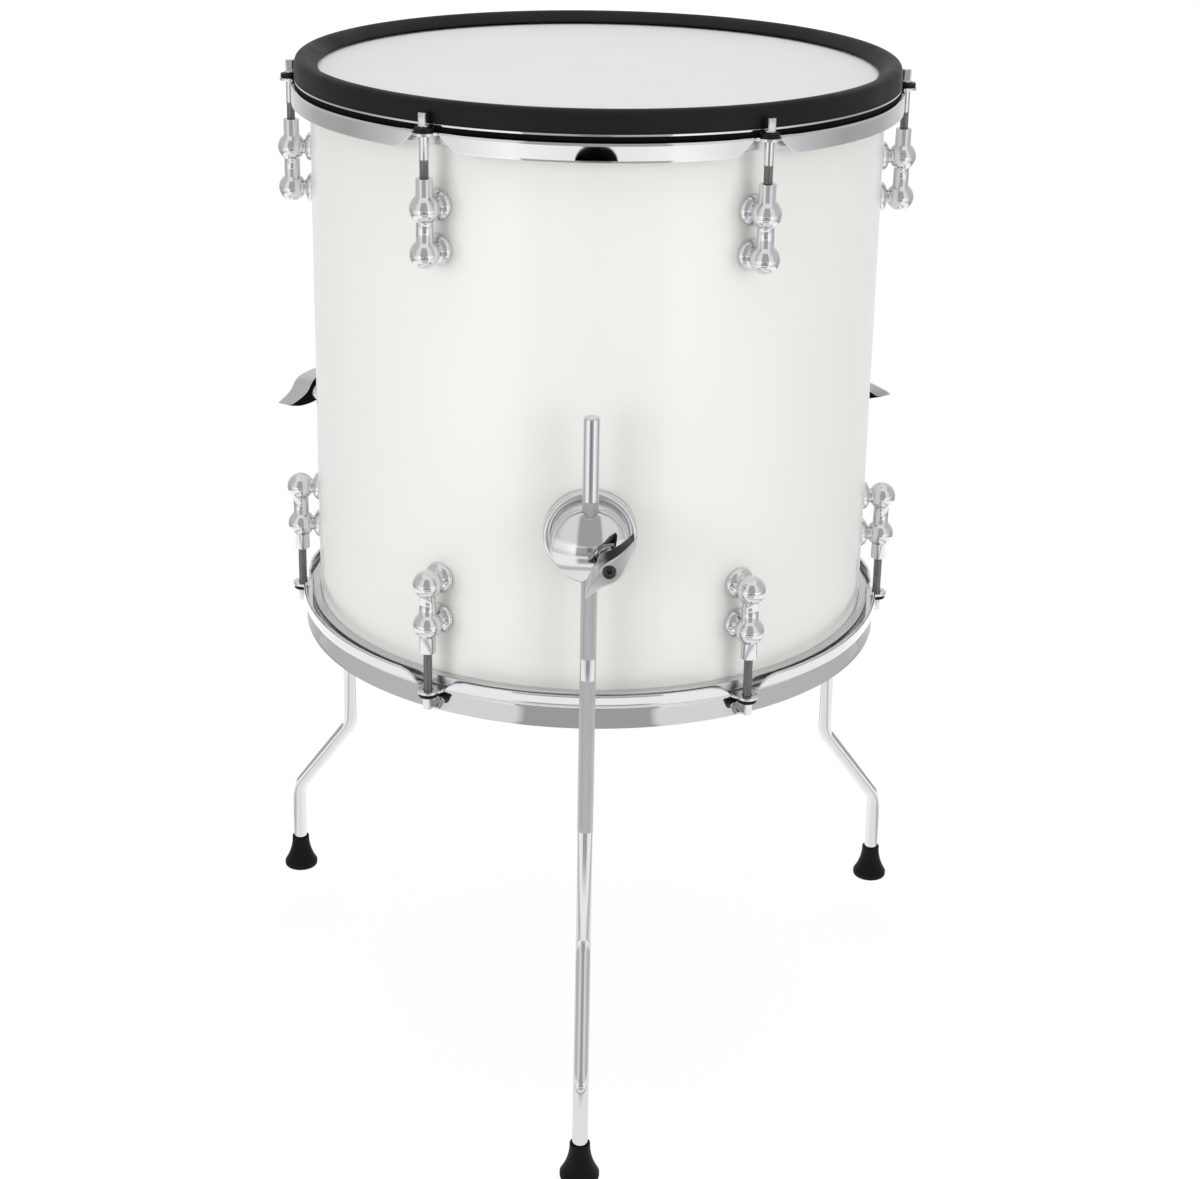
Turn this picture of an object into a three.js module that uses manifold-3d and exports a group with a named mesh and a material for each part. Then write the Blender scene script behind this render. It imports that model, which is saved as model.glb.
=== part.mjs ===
// A floor tom: a wooden drum shell that stands on three rod legs. Six tube lugs at each end pull a
// steel hoop down over a drum head, and the upper hoop carries a rubber rim. Millimetres, +Z up.
import * as THREE from "three";
import { mergeVertices } from "three/addons/utils/BufferGeometryUtils.js";
import Module from "manifold-3d";

// Clearances: seats between still pieces, faces that rest on each other, and turning pieces
const seatGap = 0.3;
const faceGap = 0.1;
const turningGap = 0.1;
const overrun = 2;

// Shell
const shellRadius = 177.8;
const shellWall = 6;
const shellHeight = 355.6;
const shellBottom = 272.2;
const bearingEdgeDepth = 6;

// Heads
const filmThickness = 0.6;
const fleshHoopDepth = 4.6;
const fleshHoopHeight = 7;

// Hoops: heights are counted outwards from the shell's edge
const hoopSheet = 1.6;
const ledgeDrop = 8.3;
const hoopWallClearance = 1.7;
const skirtClearance = 4.1;
const topSkirtHeight = 11;
const bottomSkirtHeight = 9.3;
const topLipClearance = 0.4;
const bottomLipRise = 9;
const lipRodGap = 0.45;
const skirtGapAtLedge = 17;
const skirtGapAtHem = 40;
const earRootWidth = 24;
const earNoseRadius = 6.5;
const earHoleClearance = 0.35;

// Rubber rim on the upper hoop
const rimSetback = 0.1;
const rimWidth = 14.3;
const rimBackGap = 0.2;
const rimHeadClearance = 1.5;
const rimNoseHeight = 6.8;
const rimLipThickness = 1.3;

// Tension rods and washers
const rodStandOff = 2;
const rodRadius = 2.75;
const rodEngagement = 28.8;
const rodFlangeRadius = 3.3;
const rodFlangeHeight = 1.2;
const rodSquare = 5;
const rodSquareHeight = 7;
const washerRadius = 5.8;
const washerHeight = 2.6;

// Tube lugs
const lugTubeRadius = 4.9;
const lugBallRadius = 8.7;
const lugSleeveDrop = 34.2;
const lugSleeveLength = 17.5;
const lugBallSpacing = 25.9;
const boreRelief = 2.2;
const postNeckRadius = 4.7;
const postBaseRadius = 9.5;
const postBaseHeight = 1.2;
const postFlareHeight = 2;

// Legs and feet
const legRadius = 4.75;
const legStandOff = 21.7;
const legAboveBracket = 77.8;
const legChamfer = 1;
const legKick = 48.5;
const upperKneeHeight = 130;
const lowerKneeHeight = 66;
const kneeRadius = 18;
const footRadius = 12;
const footSocketWall = 1.15;
const footHeight = 24;
const footFloor = 7;
const footEdge = 1.2;

// Leg brackets
const bracketRise = 116.8;
const plateRadius = 27.3;
const plateRimDepth = 6.4;
const plateRimWidth = 4.6;
const plateRootDepth = 4.6;
const blockRadius = 22.4;
const blockFlare = 1.2;
const blockEdge = 1.6;
const clampSplit = 1;
const clampGap = 0.2;
const capInset = 0.9;
const capEdgeDepth = 2.4;
const capDomeDepth = 8;
const capSeatDepth = 6.6;
const capSeatClearance = 1.6;

// Clamp bolts and levers
const boltRadius = 3;
const boltWall = 2.85;
const boltDrop = 3.5;
const boltHoleClearance = 0.4;
const leverFootWall = 4;
const leverHubRadius = 6.4;
const leverReach = 19.3;
const leverHeel = 21.4;
const leafBackWidthShare = 1.3;
const leafClearance = 1.6;
const leafDepth = 17.5;
const leverFlare = 11;
const leverFaceFlare = 6;
const leverHeelFall = 6;
const leverRoof = 3.4;
const leverRestDegrees = [223, 180, 328];

// Trigger inside the shell and its socket
const barWidth = 25;
const barThickness = 2;
const barDrop = 34;
const barTabHeight = 26;
const sensorRadius = 22;
const sensorThickness = 4;
const coneBaseRadius = 16;
const coneTipRadius = 7;
const socketBoreRadius = 3.4;
const socketBarrelRadius = 5.8;
const socketNutRadius = 8;
const socketNutDepth = 2.6;
const socketBodyRadius = 9;
const socketBodyDepth = 22;

// Facets
const ringSides = 48;
const bracketSides = 16;
const smallSides = 8;
const legSides = 12;

// Radii worked out from the shell outwards
const degree = Math.PI / 180;
const shellInner = shellRadius - shellWall;
const shellInnerFacet = shellInner * Math.cos(Math.PI / ringSides);
const filmInner = shellRadius + seatGap;
const filmOuter = filmInner + filmThickness;
const fleshRadius = filmOuter + fleshHoopDepth;
const hoopWallRadius = filmOuter + hoopWallClearance + hoopSheet;
const skirtRadius = fleshRadius + skirtClearance + hoopSheet;
const rodCircleRadius = skirtRadius + rodStandOff;
const rodHeadReach = Math.max(rodFlangeRadius, rodSquare / Math.SQRT2);
const lipRadius = rodCircleRadius - rodHeadReach - lipRodGap;
const legCircleRadius = shellRadius + legStandOff;
const footCircleRadius = legCircleRadius + legKick;

// Heights worked out from the shell's edge outwards
const headRise = seatGap + filmThickness;
const ledgeFace = -ledgeDrop;
const ledgeBack = ledgeFace - hoopSheet;
const topSkirtHem = ledgeFace - topSkirtHeight;
const bottomSkirtHem = ledgeFace - bottomSkirtHeight;
const rodFlangeFoot = ledgeFace + faceGap + washerHeight + faceGap;
const topLipFoot = ledgeFace + faceGap + washerHeight + topLipClearance;
const flareFoot = rodFlangeFoot;
const flangeTop = rodFlangeFoot + rodFlangeHeight;
const fleshTop = ledgeBack - seatGap;

// Depths of the clamp and its lever, counted outwards from the drum's axis
const capBack = legCircleRadius + clampSplit / 2;
const capFace = capBack + capEdgeDepth + capDomeDepth;
const leverFace = capBack + capSeatDepth + faceGap;
const leafBack = capFace + leafClearance;
const leafFace = leafBack + leafDepth;
const boltOffset = legRadius + clampGap + boltWall + boltHoleClearance + boltRadius;
const leverFootRadius = boltRadius + leverFootWall;

// Places round the drum and above the floor
const shellTop = shellBottom + shellHeight;
const socketHeight = shellBottom + shellHeight / 2;
const bracketHeight = shellBottom + bracketRise;
const drumAxisY = (footCircleRadius + footRadius - skirtRadius) / 2;
const lugDegrees = [-150, -90, -30, 30, 90, 150];
const legDegrees = [0, 120, -120];

const wasm = await Module();
wasm.setup();

// A closed three.js geometry as a solid.
function solidFrom(geometry) {
  const plain = geometry.clone();
  plain.deleteAttribute("normal");
  plain.deleteAttribute("uv");
  const merged = mergeVertices(plain);
  return new wasm.Manifold(
    new wasm.Mesh({
      numProp: 3,
      vertProperties: merged.attributes.position.array,
      triVerts: Uint32Array.from(merged.index.array),
    }),
  );
}

// A solid as a three.js geometry, with flat facets.
function geometryFrom(solid) {
  const mesh = solid.getMesh();
  const geometry = new THREE.BufferGeometry();
  geometry.setAttribute("position", new THREE.BufferAttribute(mesh.vertProperties, 3));
  geometry.setIndex(new THREE.BufferAttribute(mesh.triVerts, 1));
  const faceted = geometry.toNonIndexed();
  faceted.computeVertexNormals();
  return faceted;
}

// A profile of [radius, height] points turned about +Z. Either order of the points will do.
function turned(profile, sides) {
  let area = 0;
  profile.forEach(([r, h], i) => {
    const [nextR, nextH] = profile[(i + 1) % profile.length];
    area += r * nextH - nextR * h;
  });
  const ordered = area > 0 ? profile : [...profile].reverse();
  const points = ordered.map(([r, h]) => new THREE.Vector2(r, h));
  const onAxis = ordered[0][0] === 0 && ordered[ordered.length - 1][0] === 0;
  if (!onAxis) points.push(points[0].clone());
  return new THREE.LatheGeometry(points, sides).rotateX(Math.PI / 2);
}

// A round bar between two heights on the +Z axis.
function bar(radius, low, high, sides) {
  return turned([[0, low], [radius, low], [radius, high], [0, high]], sides);
}

// An outline drawn in the XY plane and carried up from one height to another.
function slab(shape, low, high, curveSegments = 4) {
  const options = { depth: high - low, bevelEnabled: false, curveSegments };
  return new THREE.ExtrudeGeometry(shape, options).translate(0, 0, low);
}

// Stands a piece drawn face on (x right, y up, z towards the viewer) up in front of the axis.
function facing(geometry) {
  return geometry.rotateX(Math.PI / 2);
}

// The radius whose polygon of so many sides clears a turning circle.
function around(radius, clearance, sides) {
  return (radius + clearance) / Math.cos(Math.PI / sides);
}

const chrome = { color: 0xd9dadc, roughness: 0.08, metalness: 1 };
const rubber = { color: 0x1b1b1d, roughness: 0.62, metalness: 0 };
const finishes = {
  shell: { color: 0xe9ece6, roughness: 0.18, metalness: 0 },
  head: { color: 0xe3e2de, roughness: 0.55, metalness: 0 },
  steel: { color: 0xb4b5b8, roughness: 0.3, metalness: 1 },
  foam: { color: 0x2c2c2e, roughness: 0.9, metalness: 0 },
  washer: { color: 0x121214, roughness: 0.5, metalness: 0 },
  chrome,
  rubber,
};

function named(name, geometry, finish) {
  const mesh = new THREE.Mesh(geometry, new THREE.MeshStandardMaterial(finishes[finish]));
  mesh.name = name;
  return mesh;
}

// A group that stands at an angle round the drum, counted from the front towards +X.
function station(angle) {
  const group = new THREE.Group();
  group.rotation.z = angle * degree;
  return group;
}

// The shell: a tube whose ends slope inwards from a sharp outer edge, with a hole for the socket.
function shellGeometry() {
  const wall = [
    [shellRadius, shellBottom],
    [shellRadius, shellTop],
    [shellInner, shellTop - bearingEdgeDepth],
    [shellInner, shellBottom + bearingEdgeDepth],
  ];
  const holeRadius = around(socketBarrelRadius, seatGap, smallSides);
  const hole = bar(holeRadius, shellInner - overrun, shellRadius + overrun, smallSides);
  facing(hole).rotateZ(Math.PI).translate(0, 0, socketHeight);
  return geometryFrom(solidFrom(turned(wall, ringSides)).subtract(solidFrom(hole)));
}

// The film, its collar over the shell's edge and the flesh hoop bonded round the collar's foot.
function headGeometry() {
  const fleshFoot = fleshTop - fleshHoopHeight;
  return turned(
    [
      [0, headRise],
      [filmOuter, headRise],
      [filmOuter, fleshTop],
      [fleshRadius, fleshTop],
      [fleshRadius, fleshFoot],
      [filmInner, fleshFoot],
      [filmInner, seatGap],
      [0, seatGap],
    ],
    ringSides,
  );
}

// The skirt, ledge and wall that both hoops share, up to the foot of the lip.
function hoopRoot(hem) {
  return [
    [hoopWallRadius - hoopSheet, ledgeBack],
    [skirtRadius - hoopSheet, ledgeBack],
    [skirtRadius - hoopSheet, hem],
    [skirtRadius, hem],
    [skirtRadius, ledgeFace],
    [hoopWallRadius, ledgeFace],
  ];
}

// The upper hoop's lip is a flat flange that seats the rubber rim.
function flatLip() {
  return [
    [hoopWallRadius, topLipFoot],
    [lipRadius, topLipFoot],
    [lipRadius, topLipFoot + hoopSheet],
    [hoopWallRadius - hoopSheet, topLipFoot + hoopSheet],
  ];
}

// The lower hoop's lip leans outwards in a straight flare above the washers.
function flaredLip() {
  const edge = flangeTop + bottomLipRise;
  return [
    [hoopWallRadius, flareFoot],
    [lipRadius, edge],
    [lipRadius - hoopSheet, edge],
    [hoopWallRadius - hoopSheet, flareFoot],
  ];
}

// One ear: a nose round the rod's hole that widens into the ledge.
function earShape() {
  const shape = new THREE.Shape();
  const root = hoopWallRadius + hoopSheet;
  shape.moveTo(-earRootWidth / 2, -root);
  shape.lineTo(-earNoseRadius, -rodCircleRadius);
  shape.absarc(0, -rodCircleRadius, earNoseRadius, Math.PI, 2 * Math.PI, false);
  shape.lineTo(earRootWidth / 2, -root);
  return shape;
}

// The skirt stops short of each ear on both sides, with ends that sweep up to the ledge.
function skirtGapGeometry() {
  const shoulderShare = 0.36;
  const shoulder = skirtGapAtLedge + shoulderShare * (skirtGapAtHem - skirtGapAtLedge);
  const middle = (ledgeBack + topSkirtHem) / 2;
  const shape = new THREE.Shape();
  shape.moveTo(-skirtGapAtHem / 2, topSkirtHem);
  shape.lineTo(-shoulder / 2, middle);
  shape.lineTo(-skirtGapAtLedge / 2, ledgeBack);
  shape.lineTo(skirtGapAtLedge / 2, ledgeBack);
  shape.lineTo(shoulder / 2, middle);
  shape.lineTo(skirtGapAtHem / 2, topSkirtHem);
  shape.lineTo(skirtGapAtHem / 2, topSkirtHem - overrun);
  shape.lineTo(-skirtGapAtHem / 2, topSkirtHem - overrun);
  const inside = Math.hypot(hoopWallRadius, skirtGapAtHem / 2) - hoopSheet;
  return facing(slab(shape, inside, skirtRadius + overrun));
}

function hoopGeometry(hem, lip) {
  const holeRadius = around(rodRadius, earHoleClearance, smallSides);
  let hoop = solidFrom(turned([...hoopRoot(hem), ...lip], ringSides));
  for (const angle of lugDegrees) {
    const turn = angle * degree;
    const ear = slab(earShape(), ledgeBack, ledgeFace).rotateZ(turn);
    const gap = skirtGapGeometry().rotateZ(turn);
    const hole = bar(holeRadius, ledgeBack - overrun, ledgeFace + overrun, smallSides);
    hole.translate(0, -rodCircleRadius, 0).rotateZ(turn);
    hoop = hoop.subtract(solidFrom(gap)).add(solidFrom(ear)).subtract(solidFrom(hole));
  }
  return geometryFrom(hoop);
}

// The rubber rim stands on the hoop's lip, rounds over at its crest and slopes in over the head.
function rimGeometry() {
  const foot = topLipFoot + hoopSheet + faceGap;
  const noseFoot = headRise + rimHeadClearance;
  const crest = noseFoot + rimNoseHeight;
  const outer = lipRadius - rimSetback;
  const inner = outer - rimWidth;
  const back = hoopWallRadius - hoopSheet + rimBackGap;
  const crestRadius = outer - rimWidth / 2 + rimLipThickness;
  const shoulderShares = [[0, 0.36], [0.3, 0.06]];
  const shoulder = shoulderShares.map(([inward, drop]) => [
    outer - inward * (outer - crestRadius),
    crest - drop * (crest - foot),
  ]);
  return turned(
    [
      [outer, foot],
      ...shoulder,
      [crestRadius, crest],
      [inner, noseFoot + rimLipThickness],
      [inner, noseFoot],
      [back, noseFoot],
      [back, foot],
    ],
    ringSides,
  );
}

// Points on a ball's side, from one angle above its equator to another.
function ballArc(centre, from, to, steps) {
  const points = [];
  for (let i = 0; i <= steps; i++) {
    const lift = from + ((to - from) * i) / steps;
    const onPole = i === 0 && from === -Math.PI / 2;
    const r = onPole ? 0 : lugBallRadius * Math.cos(lift);
    points.push([r, centre + lugBallRadius * Math.sin(lift)]);
  }
  return points;
}

// A round post from a lug's ball to a flared base on the shell.
function postGeometry(height) {
  const base = shellRadius + seatGap;
  const flare = base + postBaseHeight + postFlareHeight;
  const top = rodCircleRadius - lugTubeRadius;
  const profile = [
    [0, base],
    [postBaseRadius, base],
    [postBaseRadius, base + postBaseHeight],
    [postNeckRadius, flare],
    [postNeckRadius, top],
    [0, top],
  ];
  return facing(turned(profile, smallSides)).translate(0, 0, height);
}

// A tube lug: a bored sleeve, two balls and a post from each ball to the shell.
function lugGeometry() {
  const bore = around(rodRadius, turningGap, smallSides);
  const boreFloor = -lugSleeveDrop - rodEngagement - boreRelief;
  const outerBall = -lugSleeveDrop - lugSleeveLength;
  const innerBall = outerBall - lugBallSpacing;
  const meeting = Math.acos(lugTubeRadius / lugBallRadius);
  const profile = [
    ...ballArc(innerBall, -Math.PI / 2, meeting, 4),
    ...ballArc(outerBall, -meeting, meeting, 3),
    [lugTubeRadius, -lugSleeveDrop],
    [bore, -lugSleeveDrop],
    [bore, boreFloor],
    [0, boreFloor],
  ];
  let lug = solidFrom(turned(profile, smallSides).translate(0, -rodCircleRadius, 0));
  for (const height of [outerBall, innerBall]) {
    lug = lug.add(solidFrom(postGeometry(height)));
  }
  return geometryFrom(lug);
}

// A tension rod with its flange and the square that a drum key turns.
function rodGeometry() {
  const tip = -lugSleeveDrop - rodEngagement;
  const squareFoot = rodFlangeFoot + rodFlangeHeight;
  const stem = turned(
    [
      [0, tip],
      [rodRadius, tip],
      [rodRadius, rodFlangeFoot],
      [rodFlangeRadius, rodFlangeFoot],
      [rodFlangeRadius, squareFoot],
      [0, squareFoot],
    ],
    smallSides,
  );
  const key = new THREE.BoxGeometry(rodSquare, rodSquare, rodSquareHeight);
  key.translate(0, 0, squareFoot + rodSquareHeight / 2);
  const rod = solidFrom(stem).add(solidFrom(key));
  return geometryFrom(rod).translate(0, -rodCircleRadius, 0);
}

// A washer between the rod's flange and the hoop's ear.
function washerGeometry() {
  const hole = around(rodRadius, turningGap, smallSides);
  const foot = ledgeFace + faceGap;
  const ring = [
    [hole, foot],
    [washerRadius, foot],
    [washerRadius, foot + washerHeight],
    [hole, foot + washerHeight],
  ];
  return turned(ring, smallSides).translate(0, -rodCircleRadius, 0);
}

// A path that is stepped only at its own places, so a straight run costs one step.
class StationPath extends THREE.Curve {
  constructor(places, headings) {
    super();
    this.places = places;
    this.headings = headings;
  }
  getPointAt(u, target = new THREE.Vector3()) {
    return target.copy(this.places[Math.round(u * (this.places.length - 1))]);
  }
  getTangentAt(u, target = new THREE.Vector3()) {
    return target.copy(this.headings[Math.round(u * (this.headings.length - 1))]);
  }
}

// A leg: straight through its bracket, out at the upper knee and down again at the lower one.
function legGeometry() {
  const legTop = bracketHeight + legAboveBracket;
  const slant = Math.atan2(legKick, upperKneeHeight - lowerKneeHeight);
  const tangent = kneeRadius * Math.tan(slant / 2);
  const places = [];
  const headings = [];
  const mark = (reach, height, lean) => {
    places.push(new THREE.Vector3(0, -reach, height));
    headings.push(new THREE.Vector3(0, -Math.sin(lean), -Math.cos(lean)));
  };
  const kneeSteps = 2;
  mark(legCircleRadius, legTop - legChamfer, 0);
  for (let i = 0; i <= kneeSteps; i++) {
    const lean = (slant * i) / kneeSteps;
    const reach = legCircleRadius + kneeRadius * (1 - Math.cos(lean));
    mark(reach, upperKneeHeight + tangent - kneeRadius * Math.sin(lean), lean);
  }
  for (let i = 0; i <= kneeSteps; i++) {
    const lean = slant * (1 - i / kneeSteps);
    const reach = footCircleRadius - kneeRadius * (1 - Math.cos(lean));
    mark(reach, lowerKneeHeight - tangent + kneeRadius * Math.sin(lean), lean);
  }
  mark(footCircleRadius, footFloor + seatGap, 0);
  const section = new THREE.Shape().absarc(0, 0, legRadius, 0, 2 * Math.PI, false);
  const extrudePath = new StationPath(places, headings);
  const options = { extrudePath, steps: places.length - 1, curveSegments: legSides / 2 };
  const rod = solidFrom(new THREE.ExtrudeGeometry(section, options));
  const tip = new THREE.CylinderGeometry(legRadius - legChamfer, legRadius, legChamfer, legSides);
  tip.rotateX(Math.PI / 2).translate(0, -legCircleRadius, legTop - legChamfer / 2);
  return geometryFrom(rod.add(solidFrom(tip)));
}

// A rubber foot: a flat sole, a rounded edge and a waist that sweeps up to a socket for the leg.
function footGeometry() {
  const socket = around(legRadius, seatGap, legSides);
  const top = legRadius + seatGap + footSocketWall;
  const waistShares = [[0.45, 0.34], [0.12, 0.64]];
  const waist = waistShares.map(([across, up]) => [
    top + across * (footRadius - top),
    up * footHeight,
  ]);
  const profile = [
    [0, 0],
    [footRadius - footEdge, 0],
    [footRadius, footEdge],
    [footRadius, 2.5 * footEdge],
    ...waist,
    [top, footHeight],
    [socket, footHeight],
    [socket, footFloor],
    [0, footFloor],
  ];
  return turned(profile, legSides).translate(0, -footCircleRadius, 0);
}

// A solid bar the size of the leg and its clearance, standing where the leg passes the clamp.
function legPassage() {
  const radius = around(legRadius, clampGap, legSides);
  const length = 2 * plateRadius + overrun;
  return solidFrom(
    new THREE.CylinderGeometry(radius, radius, length, legSides).translate(0, 0, legCircleRadius),
  );
}

// A bar along the clamp bolt, drawn face on.
function boltBar(radius, low, high, sides = smallSides) {
  return solidFrom(bar(radius, low, high, sides).translate(boltOffset, -boltDrop, 0));
}

// The fixed half of a bracket: a round plate saddled to the shell, the clamp block and its bolt.
function bracketGeometry() {
  const back = shellRadius * Math.cos(plateRadius / shellRadius) - overrun;
  const rimTop = shellRadius + plateRimDepth;
  const root = shellRadius + plateRootDepth;
  const blockTop = legCircleRadius - clampSplit / 2;
  const profile = [
    [0, back],
    [plateRadius, back],
    [plateRadius, rimTop - plateRimWidth / 2],
    [plateRadius - plateRimWidth / 4, rimTop - plateRimWidth / 8],
    [plateRadius - plateRimWidth / 2, rimTop],
    [plateRadius - plateRimWidth, root],
    [blockRadius, root],
    [blockRadius + blockFlare, blockTop - 2 * blockEdge],
    [blockRadius - blockFlare / 2, blockTop],
    [0, blockTop],
  ];
  const saddle = bar(shellRadius + seatGap, -2 * plateRadius, 2 * plateRadius, ringSides);
  const bolt = boltBar(boltRadius, root, leafFace - leverRoof - seatGap);
  const bracket = solidFrom(turned(profile, bracketSides))
    .subtract(legPassage())
    .subtract(solidFrom(saddle.rotateX(-Math.PI / 2)))
    .add(bolt);
  return facing(geometryFrom(bracket)).translate(0, 0, bracketHeight);
}

// The loose half of the clamp: a domed cap with half the leg's groove and a seat for the lever.
function capGeometry() {
  const domeSteps = 3;
  const radius = blockRadius - capInset;
  const profile = [[0, capBack], [radius, capBack]];
  for (let i = 0; i <= domeSteps; i++) {
    const share = 1 - i / domeSteps;
    profile.push([radius * share, capFace - capDomeDepth * share ** 2]);
  }
  const seatRadius = around(leverFootRadius, capSeatClearance, bracketSides);
  const hole = around(boltRadius, boltHoleClearance, smallSides);
  const cap = solidFrom(turned(profile, bracketSides))
    .subtract(legPassage())
    .subtract(boltBar(seatRadius, capBack + capSeatDepth, capFace + overrun, bracketSides))
    .subtract(boltBar(hole, capBack - overrun, capFace));
  return facing(geometryFrom(cap)).translate(0, 0, bracketHeight);
}

// The lever's slightly S-shaped leaf, with its hub at the origin and its tip on +X.
function leafShape() {
  const tipSideShares = [[1, 0.2], [0.725, 0.42], [0.435, 0.66], [0.125, 1.1]];
  const heelSideShares = [[-0.14, 1.1], [-0.425, 0.75], [-0.73, 0.34], [-0.94, 0.02], [-1, -0.38]];
  const returnShares = [[-0.9, -0.41], [-0.61, -0.42], [-0.4, -0.5], [-0.16, -0.65]];
  const closingShares = [[0.015, -0.7], [0.36, -0.6], [0.78, -0.27], [0.98, 0.04]];
  const place = (length) => ([along, across]) =>
    new THREE.Vector2(along * length, across * leverHubRadius);
  return new THREE.Shape([
    ...tipSideShares.map(place(leverReach)),
    ...heelSideShares.map(place(leverHeel)),
    ...returnShares.map(place(leverHeel)),
    ...closingShares.map(place(leverReach)),
  ]);
}

// The lever: a leaf that curves away from the cap towards its tip, thins to its heel and is wider
// at its back than at its face, on a foot that sits in the cap and is bored for the bolt.
function leverGeometry(restDegrees) {
  const leaf = slab(leafShape(), leafBack, leafFace);
  const position = leaf.attributes.position;
  for (let i = 0; i < position.count; i++) {
    const along = position.getX(i);
    const depth = position.getZ(i);
    const atBack = depth < (leafBack + leafFace) / 2;
    const climb = (atBack ? leverFlare : leverFaceFlare) * (along / leverReach) ** 2;
    const fall = atBack ? 0 : leverHeelFall * (along / leverHeel) ** 2;
    position.setZ(i, depth + (along > 0 ? climb : -fall));
    if (atBack) position.setY(i, position.getY(i) * leafBackWidthShare);
  }
  const foot = bar(leverFootRadius, leverFace, leafBack + leverRoof, bracketSides);
  const bore = bar(
    around(boltRadius, turningGap, smallSides),
    leverFace - overrun,
    leafFace - leverRoof,
    smallSides,
  );
  const lever = solidFrom(leaf).add(solidFrom(foot)).subtract(solidFrom(bore));
  const placed = geometryFrom(lever).rotateZ(restDegrees * degree);
  return facing(placed.translate(boltOffset, -boltDrop, 0)).translate(0, 0, bracketHeight);
}

// A strip across the shell with both ends turned down against the wall.
function triggerBarGeometry() {
  const half = Math.sqrt(shellInnerFacet ** 2 - (barWidth / 2) ** 2) - seatGap;
  const top = shellTop - barDrop;
  const shape = new THREE.Shape();
  shape.moveTo(-half, top - barTabHeight);
  shape.lineTo(-half + barThickness, top - barTabHeight);
  shape.lineTo(-half + barThickness, top - barThickness);
  shape.lineTo(half - barThickness, top - barThickness);
  shape.lineTo(half - barThickness, top - barTabHeight);
  shape.lineTo(half, top - barTabHeight);
  shape.lineTo(half, top);
  shape.lineTo(-half, top);
  return facing(slab(shape, -barWidth / 2, barWidth / 2));
}

// The sensor's plate and the foam cone that touches the film from below.
function sensorGeometry() {
  const foot = shellTop - barDrop + faceGap;
  return turned(
    [
      [0, foot],
      [sensorRadius, foot],
      [sensorRadius, foot + sensorThickness],
      [coneBaseRadius, foot + sensorThickness],
      [coneTipRadius, shellTop],
      [0, shellTop],
    ],
    bracketSides,
  );
}

// The output socket: a body inside the shell, a bored barrel through the wall and a nut outside.
function socketGeometry() {
  const bodyFront = Math.sqrt(shellInnerFacet ** 2 - socketBodyRadius ** 2) - seatGap;
  const bodyBack = bodyFront - socketBodyDepth;
  const nutBack = shellRadius + seatGap;
  const nutFront = nutBack + socketNutDepth;
  const tip = nutFront + socketNutDepth / 3;
  const boreFloor = bodyBack + socketBarrelRadius - socketBoreRadius;
  const body = bar(socketBodyRadius, bodyBack, bodyFront, legSides);
  const barrel = bar(socketBarrelRadius, bodyBack, tip, smallSides);
  const nut = bar(socketNutRadius, nutBack, nutFront, 6);
  const bore = bar(socketBoreRadius, boreFloor, tip + overrun, smallSides);
  const socket = solidFrom(body)
    .add(solidFrom(barrel))
    .add(solidFrom(nut))
    .subtract(solidFrom(bore));
  return facing(geometryFrom(socket)).translate(0, 0, socketHeight);
}

const drum = new THREE.Group();
drum.position.y = drumAxisY;
drum.add(named("shell", shellGeometry(), "shell"));
drum.add(named("trigger_bar", triggerBarGeometry(), "steel"));
drum.add(named("trigger_sensor", sensorGeometry(), "foam"));
const rear = station(180);
rear.add(named("output_socket", socketGeometry(), "steel"));
drum.add(rear);

// Both ends hold the same pieces, and the lower end is the upper one turned over.
const ends = [
  { name: "top", height: shellTop, flip: 0, hem: topSkirtHem, lip: flatLip() },
  { name: "bottom", height: shellBottom, flip: Math.PI, hem: bottomSkirtHem, lip: flaredLip() },
];
for (const end of ends) {
  const group = new THREE.Group();
  group.position.z = end.height;
  group.rotation.x = end.flip;
  group.add(named(`${end.name}_head`, headGeometry(), "head"));
  group.add(named(`${end.name}_hoop`, hoopGeometry(end.hem, end.lip), "chrome"));
  lugDegrees.forEach((angle, i) => {
    const place = station(end.flip === 0 ? angle : 180 - angle);
    place.add(named(`${end.name}_lug_${i + 1}`, lugGeometry(), "chrome"));
    place.add(named(`${end.name}_rod_${i + 1}`, rodGeometry(), "chrome"));
    place.add(named(`${end.name}_washer_${i + 1}`, washerGeometry(), "washer"));
    group.add(place);
  });
  if (end.flip === 0) group.add(named("rim_rubber", rimGeometry(), "rubber"));
  drum.add(group);
}

const legNames = ["front", "right", "left"];
legDegrees.forEach((angle, i) => {
  const place = station(angle);
  const name = legNames[i];
  place.add(named(`${name}_leg`, legGeometry(), "chrome"));
  place.add(named(`${name}_foot`, footGeometry(), "rubber"));
  place.add(named(`${name}_bracket`, bracketGeometry(), "chrome"));
  place.add(named(`${name}_clamp_cap`, capGeometry(), "chrome"));
  place.add(named(`${name}_clamp_lever`, leverGeometry(leverRestDegrees[i]), "chrome"));
  drum.add(place);
});

const floorTom = new THREE.Group();
floorTom.add(drum);

export default floorTom;
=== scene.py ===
# %% [markdown]
# # A floor tom
# The object is a 14 inch floor tom: a lacquered ply shell on three bent rod legs, with chrome hoops
# and tube lugs, and a black rubber rim. Its solids are already built to size. They are loaded here
# as a fixed frame, and each step lays a finer surface over one kind of piece. All lengths are in
# metres, and the frame gives most of them.

import math

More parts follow.
